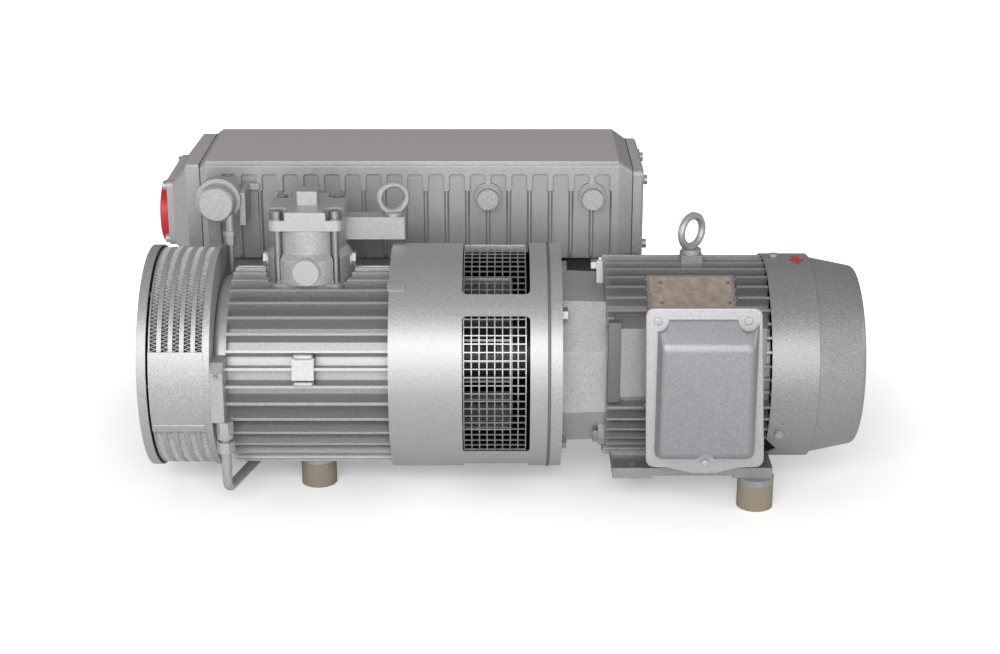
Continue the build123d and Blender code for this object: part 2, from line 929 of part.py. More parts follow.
# Ring cooler: outer plate with the air intake, finned core, header and inner plate
x_core = x_cooler + rim_width + rim_gap
core_length = cooler_length - rim_width - rim_gap - inner_plate_length
fin_margin = (core_length - (fin_rows - 1) * fin_pitch - fin_row_width) / 2
with BuildPart() as cooler_outer_plate:
    with BuildSketch(across(x_cooler)):
        Circle(cooler_radius)
        Circle(cooler_radius - rim_thickness, mode=Mode.SUBTRACT)
    extrude(amount=rim_width)
    with BuildSketch(across(x_cooler)):
        Circle(cooler_radius - rim_thickness)
        Circle(intake_radius, mode=Mode.SUBTRACT)
        Circle(intake_ring_radius)
        with PolarLocations((intake_radius + intake_ring_radius) / 2, intake_bars):
            Rectangle(intake_radius - intake_ring_radius + 2 * rim_gap, intake_bar_width)
    extrude(amount=plate_thickness)
    with BuildSketch(across(x_cooler + plate_thickness)):
        with PolarLocations((core_inner_radius + fin_root_radius) / 2, core_posts):
            Circle(core_post_radius)
    extrude(amount=rim_width + rim_gap - plate_thickness)
cooler_outer_plate.part.label = "cooler_outer_plate"
export_step(cooler_outer_plate.part, "parts/cooler_outer_plate.step")

with BuildPart() as cooler_core:
    with BuildSketch(across(x_core)):
        Circle(core_outer_radius)
        Circle(core_inner_radius, mode=Mode.SUBTRACT)
    extrude(amount=core_length)
    with BuildSketch(*[across(x_core + fin_margin + row * fin_pitch) for row in range(fin_rows)]):
        Circle(core_outer_radius)
        Circle(fin_root_radius, mode=Mode.SUBTRACT)
        with PolarLocations((fin_root_radius + core_outer_radius) / 2, fin_count):
            Rectangle(core_outer_radius - fin_root_radius - 1, fin_thickness, mode=Mode.SUBTRACT)
    extrude(amount=fin_row_width, mode=Mode.SUBTRACT)
cooler_core.part.label = "cooler_core"
export_step(cooler_core.part, "parts/cooler_core.step")

header_span = 2 * cooler_radius
with BuildPart() as cooler_header:
    with BuildSketch(across(x_core)):
        Polygon(
            (0, 0),
            (-header_span * cos(radians(header_high)), header_span * sin(radians(header_high))),
            (-header_span * cos(radians(header_low)), header_span * sin(radians(header_low))),
        )
        Circle(cooler_radius, mode=Mode.INTERSECT)
        Circle(core_outer_radius, mode=Mode.SUBTRACT)
    extrude(amount=core_length)
cooler_header.part.label = "cooler_header"
export_step(cooler_header.part, "parts/cooler_header.step")

with BuildPart() as cooler_inner_plate:
    with BuildSketch(across(x_core + core_length)):
        Circle(cooler_radius)
        Circle(inner_plate_hole, mode=Mode.SUBTRACT)
    extrude(amount=inner_plate_length)
cooler_inner_plate.part.label = "cooler_inner_plate"
export_step(cooler_inner_plate.part, "parts/cooler_inner_plate.step")

# Fan wheel that draws air in through the cooler
x_fan_disc = x_cylinder - hub_length - rim_gap - fan_disc_length
with BuildPart() as cooler_fan:
    with BuildSketch(across(x_fan_disc)):
        Circle(fan_radius)
        Circle(shaft_radius, mode=Mode.SUBTRACT)
    extrude(amount=fan_disc_length)
    with BuildSketch(across(x_fan_disc - fan_blade_length)):
        Circle(fan_hub_radius)
        Circle(shaft_radius, mode=Mode.SUBTRACT)
        with PolarLocations(fan_radius - fan_blade_depth / 2, fan_blade_count):
            Rectangle(fan_blade_depth, fan_blade_thickness)
    extrude(amount=fan_blade_length)
cooler_fan.part.label = "cooler_fan"
export_step(cooler_fan.part, "parts/cooler_fan.step")

# Oil manifold on the end cover, with fittings and the return pipe to the sump
with BuildPart() as oil_manifold:
    with BuildSketch(across(x_cover)):
        Polygon(
            (-manifold_front, manifold_bottom),
            (-end_cover_radius / 2, manifold_bottom),
            (-end_cover_radius / 2, manifold_top),
            (manifold_chamfer - manifold_front, manifold_top),
            (-manifold_front, manifold_top - manifold_chamfer),
        )
        with Locations((0, -eccentricity)):
            Circle(end_cover_radius, mode=Mode.SUBTRACT)
    extrude(amount=end_cover_length)
oil_manifold.part.label = "oil_manifold"
export_step(oil_manifold.part, "parts/oil_manifold.step")

x_oil = x_cover + oil_x
oil_ring_bottom = manifold_bottom - oil_hex_height - oil_ring_height
with BuildPart() as oil_fittings:
    with BuildSketch(level(manifold_bottom)):
        with Locations((x_oil, oil_y)):
            RegularPolygon(oil_hex_size / 2, 6)
    extrude(amount=-oil_hex_height)
    with BuildSketch(level(manifold_bottom - oil_hex_height)):
        with Locations((x_oil, oil_y)):
            Circle(oil_ring_radius)
    extrude(amount=-oil_ring_height)
    with BuildSketch(level(oil_ring_bottom - oil_nut_gap)):
        with Locations((x_oil, oil_y)):
            RegularPolygon(oil_nut_size / 2, 6)
            Circle(pipe_radius, mode=Mode.SUBTRACT)
    extrude(amount=-oil_nut_height)
    with BuildSketch(level(sump_bottom)):
        with Locations((x_oil + pipe_end_run, pipe_end_y)):
            RegularPolygon(oil_nut_size / 2, 6)
            Circle(pipe_radius, mode=Mode.SUBTRACT)
    extrude(amount=-oil_nut_height)
oil_fittings.part.label = "oil_fittings"
export_step(oil_fittings.part, "parts/oil_fittings.step")

with BuildPart() as oil_pipe:
    with BuildLine(level(0)) as pipe_route:
        FilletPolyline(
            (x_oil, oil_y, oil_ring_bottom),
            (x_oil, oil_y, pipe_bottom),
            (x_oil + pipe_mid_run, inlet_y, pipe_bottom),
            (x_oil + pipe_end_run, pipe_end_y, pipe_bottom),
            (x_oil + pipe_end_run, pipe_end_y, sump_bottom),
            radius=pipe_bend,
        )
    with BuildSketch(level(oil_ring_bottom)):
        with Locations((x_oil, oil_y)):
            Circle(pipe_radius)
    sweep(path=pipe_route.wire())
oil_pipe.part.label = "oil_pipe"
export_step(oil_pipe.part, "parts/oil_pipe.step")

# Fan guard: sheet drum with three windows, wire mesh inside and a flange ring
with BuildPart() as fan_guard:
    with BuildSketch(across(x_guard)):
        Circle(guard_radius)
        Circle(guard_radius - sheet, mode=Mode.SUBTRACT)
    extrude(amount=guard_length)
    with BuildSketch(across(x_guard)):
        Circle(guard_radius - sheet)
        with Locations((0, -eccentricity)):
            Circle(spigot_radius, mode=Mode.SUBTRACT)
    extrude(amount=sheet)
    with BuildSketch(across(x_guard + window_offset)):
        for angle in window_angles:
            with PolarLocations(0, 1, start_angle=angle):
                Polygon(
                    (0, 0),
                    (window_reach, -window_reach * tan(radians(window_half_angle))),
                    (window_reach, window_reach * tan(radians(window_half_angle))),
                )
        with PolarLocations(0, 1, start_angle=lower_window_angle):
            Polygon(
                (0, 0),
                (window_reach, -window_reach * tan(radians(lower_window_half_angle))),
                (window_reach, window_reach * tan(radians(lower_window_half_angle))),
            )
    extrude(amount=window_length, mode=Mode.SUBTRACT)
    corners = fan_guard.edges().filter_by(GeomType.LINE).filter_by(lambda edge: edge.length < 2 * sheet)
    fillet(corners, window_round)
    with BuildSketch(
        *[
            outward(x_guard + window_offset + window_length / 2, angle, bore_radius)
            for angle in (-guard_hole_angle, guard_hole_angle, 180 - guard_hole_angle)
        ]
    ):
        Circle(guard_hole_radius)
    extrude(amount=guard_radius - bore_radius + 1, mode=Mode.SUBTRACT)
fan_guard.part.label = "fan_guard"
export_step(fan_guard.part, "parts/fan_guard.step")

wire_radius = guard_radius - sheet - wire / 2 - wire_gap
x_mesh = x_guard + window_offset + mesh_start
with BuildPart() as guard_mesh:
    with BuildSketch(across(x_mesh)):
        with PolarLocations(wire_radius, mesh_rows):
            Rectangle(wire, wire)
    extrude(amount=(mesh_columns - 1) * mesh_pitch)
    with BuildSketch(*[across(x_mesh + column * mesh_pitch - wire / 2) for column in range(mesh_columns)]):
        RegularPolygon(wire_radius - wire / 2 - wire_gap, hoop_sides)
        RegularPolygon(wire_radius - 3 * wire / 2 - wire_gap, hoop_sides, mode=Mode.SUBTRACT)
    extrude(amount=wire)
guard_mesh.part.label = "guard_mesh"
export_step(guard_mesh.part, "parts/guard_mesh.step")

with BuildPart() as guard_flange:
    with BuildSketch(across(x_flange)):
        Circle(guard_radius)
        Circle(flange_bore_radius, mode=Mode.SUBTRACT)
    extrude(amount=flange_length)
guard_flange.part.label = "guard_flange"
export_step(guard_flange.part, "parts/guard_flange.step")

# Jaw coupling, whose pump half carries the cooling drum
jaw_reach = 2 * coupling_radius
with BuildPart() as coupling_hub_pump:
    with BuildSketch(across(x_shaft_gap - coupling_length)):
        Circle(coupling_radius)
        Circle(shaft_radius, mode=Mode.SUBTRACT)
    extrude(amount=coupling_length)
    with BuildSketch(across(x_shaft_gap)):
        with PolarLocations(0, vane_count):
            Polygon(
                (0, 0),
                (jaw_reach, -jaw_reach * tan(radians(jaw_angle / 2))),
                (jaw_reach, jaw_reach * tan(radians(jaw_angle / 2))),
            )
        Circle(coupling_radius, mode=Mode.INTERSECT)
        Circle(jaw_inner_radius, mode=Mode.SUBTRACT)
    extrude(amount=jaw_length - gap)
coupling_hub_pump.part.label = "coupling_hub_pump"
export_step(coupling_hub_pump.part, "parts/coupling_hub_pump.step")

with BuildPart() as coupling_hub_motor:
    with BuildSketch(across(x_shaft_gap + jaw_length)):
        Circle(coupling_radius)
        Circle(motor_shaft_radius, mode=Mode.SUBTRACT)
    extrude(amount=coupling_length)
    with BuildSketch(across(x_shaft_gap + gap)):
        with PolarLocations(0, vane_count, start_angle=180 / vane_count):
            Polygon(
                (0, 0),
                (jaw_reach, -jaw_reach * tan(radians(jaw_angle / 2))),
                (jaw_reach, jaw_reach * tan(radians(jaw_angle / 2))),
            )
        Circle(coupling_radius, mode=Mode.INTERSECT)
        Circle(jaw_inner_radius, mode=Mode.SUBTRACT)
    extrude(amount=jaw_length - gap)
coupling_hub_motor.part.label = "coupling_hub_motor"
export_step(coupling_hub_motor.part, "parts/coupling_hub_motor.step")

with BuildPart() as coupling_spider:
    with BuildSketch(across(x_shaft_gap + gap)):
        with PolarLocations(0, 2 * vane_count, start_angle=90 / vane_count):
            Polygon(
                (0, 0),
                (jaw_reach, -jaw_reach * tan(radians(arm_angle / 2))),
                (jaw_reach, jaw_reach * tan(radians(arm_angle / 2))),
            )
        Circle(coupling_radius, mode=Mode.INTERSECT)
        Circle(jaw_inner_radius - gap)
        Circle(shaft_radius, mode=Mode.SUBTRACT)
    extrude(amount=jaw_length - 2 * gap)
coupling_spider.part.label = "coupling_spider"
export_step(coupling_spider.part, "parts/coupling_spider.step")

x_drum = x_shaft_gap - coupling_length - drum_disc_length
with BuildPart() as drum_fan:
    with BuildSketch(across(x_drum)):
        Circle(drum_radius)
        Circle(shaft_radius, mode=Mode.SUBTRACT)
    extrude(amount=drum_disc_length)
    with BuildSketch(across(x_drum + drum_disc_length)):
        with PolarLocations(drum_radius - drum_blade_depth / 2, drum_blades):
            Rectangle(drum_blade_depth - drum_edge, drum_blade_thickness)
    extrude(amount=drum_length)
    with BuildSketch(across(x_drum + drum_disc_length + drum_length)):
        Circle(drum_radius)
        Circle(drum_radius - drum_blade_depth, mode=Mode.SUBTRACT)
    extrude(amount=drum_disc_length)
drum_fan.part.label = "drum_fan"
export_step(drum_fan.part, "parts/drum_fan.step")

# Adapter casting between guard flange and motor
with BuildPart() as motor_adapter:
    with BuildSketch(across(x_adapter)):
        Polygon(
            (-facet_top_half, facet_top),
            (-facet_front, facet_front_half),
            (-facet_front, -facet_front_half),
            (-facet_top_half, -facet_top),
            (facet_top_half, -facet_top),
            (facet_front, -facet_front_half),
            (facet_front, facet_front_half),
            (facet_top_half, facet_top),
        )
    extrude(amount=adapter_length, taper=adapter_taper)
    with BuildSketch(across(x_motor)):
        for angle in lug_angles:
            with PolarLocations((lug_inner_radius + lug_outer_radius) / 2, 1, start_angle=180 - angle):
                Rectangle(lug_outer_radius - lug_inner_radius, lug_width)
    extrude(amount=-lug_length)
    with BuildSketch(across(x_adapter)):
        Circle(adapter_bore_radius)
    extrude(amount=adapter_length, mode=Mode.SUBTRACT)
motor_adapter.part.label = "motor_adapter"
export_step(motor_adapter.part, "parts/motor_adapter.step")

# Hex bolts of guard flange and adapter
with BuildPart() as flange_bolts:
    with BuildSketch(across(x_adapter)):
        for angle in guard_bolt_angles:
            with PolarLocations(guard_bolt_radius, 1, start_angle=180 - angle):
                RegularPolygon(guard_bolt_size / 2, 6)
    extrude(amount=guard_bolt_height)
    with BuildSketch(across(x_motor - lug_length)):
        for angle in lug_angles:
            with PolarLocations(lug_bolt_radius, 1, start_angle=180 - angle):
                RegularPolygon(lug_bolt_size / 2, 6)
    extrude(amount=-lug_bolt_height)
flange_bolts.part.label = "flange_bolts"
export_step(flange_bolts.part, "parts/flange_bolts.step")

# Motor frame with ribs, feet, terminal pad, plate boss and eye block
x_plate = x_motor + plate_start + plate_length / 2
x_eye_block = x_motor + eye_block_start + eye_block_size / 2
x_terminal_pad = x_motor + terminal_pad_start + terminal_pad_length / 2
x_foot = x_motor + foot_start
foot_length = foot_end - foot_start
x_lid = x_motor + box_left + lid_width / 2
lid_height = lid_top - lid_bottom
lid_middle = (lid_top + lid_bottom) / 2
with BuildPart() as motor_frame:
    with BuildSketch(across(x_motor)):
        Circle(frame_root_radius)
        with PolarLocations(
            (frame_root_radius - rib_sink + frame_tip_radius) / 2,
            frame_rib_count,
            start_angle=180 - frame_rib_phase,
        ):
            Rectangle(frame_tip_radius - frame_root_radius + rib_sink, frame_rib_width)
    extrude(amount=frame_length)
    with BuildSketch(facing(-terminal_pad_front)):
        with Locations((x_terminal_pad, (terminal_pad_top + terminal_pad_bottom) / 2)):
            Rectangle(terminal_pad_length, terminal_pad_top - terminal_pad_bottom)
        with Locations((x_lid, lid_middle)):
            Rectangle(lid_width, lid_height)
    extrude(amount=frame_tip_radius, mode=Mode.SUBTRACT)
    with BuildSketch(facing(-terminal_pad_front)):
        with Locations((x_terminal_pad, (terminal_pad_top + terminal_pad_bottom) / 2)):
            Rectangle(
                terminal_pad_length - 2 * terminal_pad_bevel,
                terminal_pad_top - terminal_pad_bottom - 2 * terminal_pad_bevel,
            )
    extrude(amount=-terminal_pad_depth, taper=-terminal_pad_draft)
    with BuildSketch(outward(x_plate, plate_angle, plate_distance)):
        Rectangle(plate_length + 3 * plate_boss_margin, plate_width + 3 * plate_boss_margin)
    extrude(amount=frame_tip_radius, mode=Mode.SUBTRACT)
    with BuildSketch(outward(x_plate, plate_angle, plate_distance)):
        Rectangle(plate_length + 2 * plate_boss_margin, plate_width + 2 * plate_boss_margin)
    extrude(amount=stator_radius - plate_distance)
    with BuildSketch(level(eye_block_top)):
        with Locations((x_eye_block, 0)):
            Rectangle(eye_block_size, eye_block_size)
    extrude(amount=-eye_block_depth)
    with BuildSketch(level(foot_thickness - foot_drop)):
        with Locations((x_foot + foot_length / 2, 0)):
            Rectangle(foot_length, 2 * foot_half_width)
    extrude(amount=-frame_tip_radius, mode=Mode.SUBTRACT)
    with BuildSketch(level(foot_thickness - foot_drop)):
        with Locations((x_foot, 0)):
            Rectangle(x_fan_cover - x_foot, foot_web_width, align=(Align.MIN, Align.CENTER))
    extrude(amount=frame_root_radius / 2)
    with BuildSketch(level(-foot_drop)):
        with Locations((x_foot + foot_length / 2, 0)):
            Rectangle(foot_length, 2 * foot_half_width)
        with Locations((x_foot + foot_hole_start + foot_hole_x / 2, 0)):
            with GridLocations(foot_hole_x, foot_hole_y, 2, 2):
                Circle(foot_hole_radius, mode=Mode.SUBTRACT)
        with Locations((x_motor_foot, 0)):
            with GridLocations(0, 2 * motor_foot_y, 1, 2):
                Circle(foot_thread_radius, mode=Mode.SUBTRACT)
    extrude(amount=foot_thickness)
    with BuildSketch(level(-foot_drop)):
        with Locations((x_foot + foot_length / 2, 0)):
            Rectangle(foot_length - 2 * foot_pad_length, 2 * foot_half_width)
    extrude(amount=foot_relief, mode=Mode.SUBTRACT)
    with BuildSketch(level(-foot_drop)):
        with Locations((x_motor_foot, 0)):
            with GridLocations(0, 2 * motor_foot_y, 1, 2):
                Circle(foot_radius)
                Circle(foot_thread_radius, mode=Mode.SUBTRACT)
    extrude(amount=-foot_boss_height)
    with BuildSketch(across(x_motor)):
        Circle(stator_radius)
    extrude(amount=frame_length, mode=Mode.SUBTRACT)
motor_frame.part.label = "motor_frame"
export_step(motor_frame.part, "parts/motor_frame.step")

with BuildPart() as motor_stator:
    with BuildSketch(across(x_motor + stator_offset)):
        Circle(stator_radius)
        Circle(stator_bore_radius, mode=Mode.SUBTRACT)
    extrude(amount=stator_length)
motor_stator.part.label = "motor_stator"
export_step(motor_stator.part, "parts/motor_stator.step")

x_motor_fan = x_fan_cover + motor_fan_offset
with BuildPart() as motor_rotor:
    with BuildSketch(across(x_shaft_gap + jaw_length)):
        Circle(motor_shaft_radius)
    extrude(amount=x_motor_fan + motor_fan_hub_length - x_shaft_gap - jaw_length)
    with BuildSketch(across(x_motor + stator_offset)):
        Circle(motor_rotor_radius)
    extrude(amount=stator_length)
motor_rotor.part.label = "motor_rotor"
export_step(motor_rotor.part, "parts/motor_rotor.step")

with BuildPart() as motor_end_shields:
    with BuildSketch(across(x_motor), across(x_fan_cover - shield_length)):
        Circle(stator_radius)
        Circle(motor_bearing_radius, mode=Mode.SUBTRACT)
    extrude(amount=shield_length)
motor_end_shields.part.label = "motor_end_shields"
export_step(motor_end_shields.part, "parts/motor_end_shields.step")

# Bearing rings of pump and motor
with BuildPart() as shaft_bearings:
    with BuildSketch(across(x_cylinder - bearing_length), across(x_guard + gap)):
        Circle(bearing_radius)
        Circle(shaft_radius + running_fit, mode=Mode.SUBTRACT)
    extrude(amount=bearing_length - gap)
    with BuildSketch(across(x_motor), across(x_fan_cover - shield_length)):
        Circle(motor_bearing_radius)
        Circle(motor_shaft_radius + running_fit, mode=Mode.SUBTRACT)
    extrude(amount=shield_length)
shaft_bearings.part.label = "shaft_bearings"
export_step(shaft_bearings.part, "parts/shaft_bearings.step")

with BuildPart() as motor_fan:
    with BuildSketch(across(x_motor_fan)):
        Circle(motor_fan_radius)
        Circle(motor_shaft_radius, mode=Mode.SUBTRACT)
    extrude(amount=motor_fan_disc_length)
    with BuildSketch(across(x_motor_fan + motor_fan_disc_length)):
        with PolarLocations((motor_fan_hub_radius + motor_fan_radius) / 2, motor_fan_blades):
            Rectangle(motor_fan_radius - motor_fan_hub_radius + 2, motor_fan_blade_thickness)
        Circle(motor_fan_hub_radius)
        Circle(motor_shaft_radius, mode=Mode.SUBTRACT)
    extrude(amount=motor_fan_hub_length - motor_fan_disc_length)
motor_fan.part.label = "motor_fan"
export_step(motor_fan.part, "parts/motor_fan.step")

# Sheet cover over the motor's fan, open at the end through a grille
x_step = x_fan_cover + cover_band_length
x_end = x_fan_cover + fan_cover_length
side = facing(0)
with BuildPart() as fan_cover:
    with BuildSketch(side):
        Polygon(
            (x_fan_cover, 0),
            (x_fan_cover, cover_band_radius),
            (x_step, cover_band_radius),
            (x_step, cover_cone_radius),
            (x_end, cover_end_radius),
            (x_end, 0),
        )
    revolve(axis=shaft_line)
    fillet(fan_cover.edges().group_by(Axis.X)[-1], cover_round)
    with BuildSketch(side):
        Polygon(
            (x_fan_cover, 0),
            (x_fan_cover, cover_band_radius - cover_sheet),
            (x_step - cover_sheet, cover_band_radius - cover_sheet),
            (x_step - cover_sheet, cover_cone_radius - cover_sheet),
            (x_end - cover_round, cover_end_radius - cover_sheet),
            (x_end - cover_sheet, cover_end_radius - cover_round),
            (x_end - cover_sheet, 0),
        )
    revolve(axis=shaft_line, mode=Mode.SUBTRACT)
    with BuildSketch(across(x_end)):
        with PolarLocations((grille_inner_radius + grille_outer_radius) / 2, grille_slots):
            Rectangle(grille_outer_radius - grille_inner_radius, grille_slot_width)
    extrude(amount=-2 * cover_sheet, mode=Mode.SUBTRACT)
    with BuildSketch(level(foot_thickness - foot_drop + gap)):
        with Locations((x_fan_cover, 0)):
            Rectangle(
                x_foot + foot_length + gap - x_fan_cover, 2 * cover_band_radius,
                align=(Align.MIN, Align.CENTER),
            )
    extrude(amount=-cover_band_radius, mode=Mode.SUBTRACT)
    with BuildSketch(outward(x_fan_cover, -notch_angle, 0), outward(x_fan_cover, notch_angle - 180, 0)):
        Polygon((0, -notch_half_width), (notch_depth, 0), (0, notch_half_width))
    extrude(amount=cover_band_radius + cover_sheet, mode=Mode.SUBTRACT)
fan_cover.part.label = "fan_cover"
export_step(fan_cover.part, "parts/fan_cover.step")

# Terminal box with its domed lid
body_back = terminal_pad_front
with BuildPart() as terminal_box:
    with BuildSketch(facing(-body_back)):
        with Locations((x_lid, lid_middle)):
            RectangleRounded(lid_width - 2 * body_inset, lid_height - 2 * body_inset, lid_round)
    extrude(amount=lid_flange_back - body_back)
    with BuildSketch(facing(-body_back - body_wall)):
        with Locations((x_lid, lid_middle)):
            RectangleRounded(
                lid_width - 2 * body_inset - 2 * body_wall,
                lid_height - 2 * body_inset - 2 * body_wall,
                lid_round - body_wall,
            )
    extrude(amount=lid_flange_back, mode=Mode.SUBTRACT)
    with BuildSketch(facing(-body_back)):
        with Locations((x_lid, (terminal_pad_top + terminal_pad_bottom) / 2)):
            Circle(lead_hole_radius)
    extrude(amount=body_wall, mode=Mode.SUBTRACT)
    with BuildSketch(level(lid_bottom + body_inset)):
        with Locations((x_lid, -(body_back + body_wall + lid_flange_back) / 2)):
            Circle(conduit_radius)
    extrude(amount=body_wall, mode=Mode.SUBTRACT)
terminal_box.part.label = "terminal_box"
export_step(terminal_box.part, "parts/terminal_box.step")

x_lid_left = x_motor + box_left
lid_screw_places = (
    (x_lid_left + lid_screw_side, lid_top - lid_screw_down),
    (x_lid_left + lid_width - lid_screw_side, lid_top - lid_screw_down),
    (x_lid, lid_bottom - lid_tab_drop),
)
dome_left = x_lid_left + dome_left_inset
dome_right = x_lid_left + lid_width - dome_right_inset
dome_top = lid_top - dome_top_inset
dome_bottom = lid_bottom + dome_bottom_inset
dome_middle = (dome_left + dome_right) / 2
dome_face_middle = (dome_top - dome_slope + dome_bottom + dome_side_slope) / 2
with BuildPart() as terminal_lid:
    with BuildSketch(facing(-lid_flange_back - lid_flange_length)) as dome_base:
        with Locations((dome_middle, (dome_top + dome_bottom) / 2)):
            RectangleRounded(dome_right - dome_left, dome_top - dome_bottom, lid_round)
    with BuildSketch(facing(-front_reach)) as dome_face:
        with Locations((dome_middle, dome_face_middle)):
            RectangleRounded(
                dome_right - dome_left - 2 * dome_side_slope,
                dome_top - dome_slope - dome_bottom - dome_side_slope,
                lid_round,
            )
    loft(ruled=True)
    fillet(terminal_lid.edges().group_by(Axis.Y)[0], dome_round)
    with BuildSketch(facing(-lid_flange_back - lid_flange_length)):
        with Locations(*lid_screw_places):
            Circle(lid_screw_pocket)
    extrude(amount=front_reach, mode=Mode.SUBTRACT)
    with BuildSketch(facing(-lid_flange_back)):
        with Locations((x_lid, lid_middle)):
            RectangleRounded(lid_width, lid_height, lid_round)
        with Locations((x_lid, lid_bottom - lid_tab_drop)):
            Circle(lid_tab_radius)
    extrude(amount=lid_flange_length)
terminal_lid.part.label = "terminal_lid"
export_step(terminal_lid.part, "parts/terminal_lid.step")

with BuildPart() as motor_plate:
    with BuildSketch(outward(x_plate, plate_angle, plate_distance)):
        Rectangle(plate_length, plate_width)
    extrude(amount=name_plate_thickness)
motor_plate.part.label = "motor_plate"
export_step(motor_plate.part, "parts/motor_plate.step")

motor_eye_z = eye_block_top + motor_eye_lift + motor_eye_ring_radius + motor_eye_wire_radius
motor_eye_center = (x_eye_block, shaft_y, shaft_height + motor_eye_z)
with BuildPart() as motor_lifting_eye:
    with BuildSketch(level(eye_block_top)):
        with Locations((x_eye_block, 0)):
            Circle(eye_collar_radius)
    extrude(amount=eye_collar_height + 1)
    with BuildSketch(
        Plane(
            origin=motor_eye_center,
            x_dir=(cos(radians(motor_eye_turn)), sin(radians(motor_eye_turn)), 0),
            z_dir=(0, 0, 1),
        )
    ):
        with Locations((motor_eye_ring_radius, 0)):
            RegularPolygon(motor_eye_wire_radius, eye_sides, rotation=180 / eye_sides)
    revolve(
        axis=Axis(
            motor_eye_center,
            (-sin(radians(motor_eye_turn)), cos(radians(motor_eye_turn)), 0),
        )
    )
motor_lifting_eye.part.label = "motor_lifting_eye"
export_step(motor_lifting_eye.part, "parts/motor_lifting_eye.step")

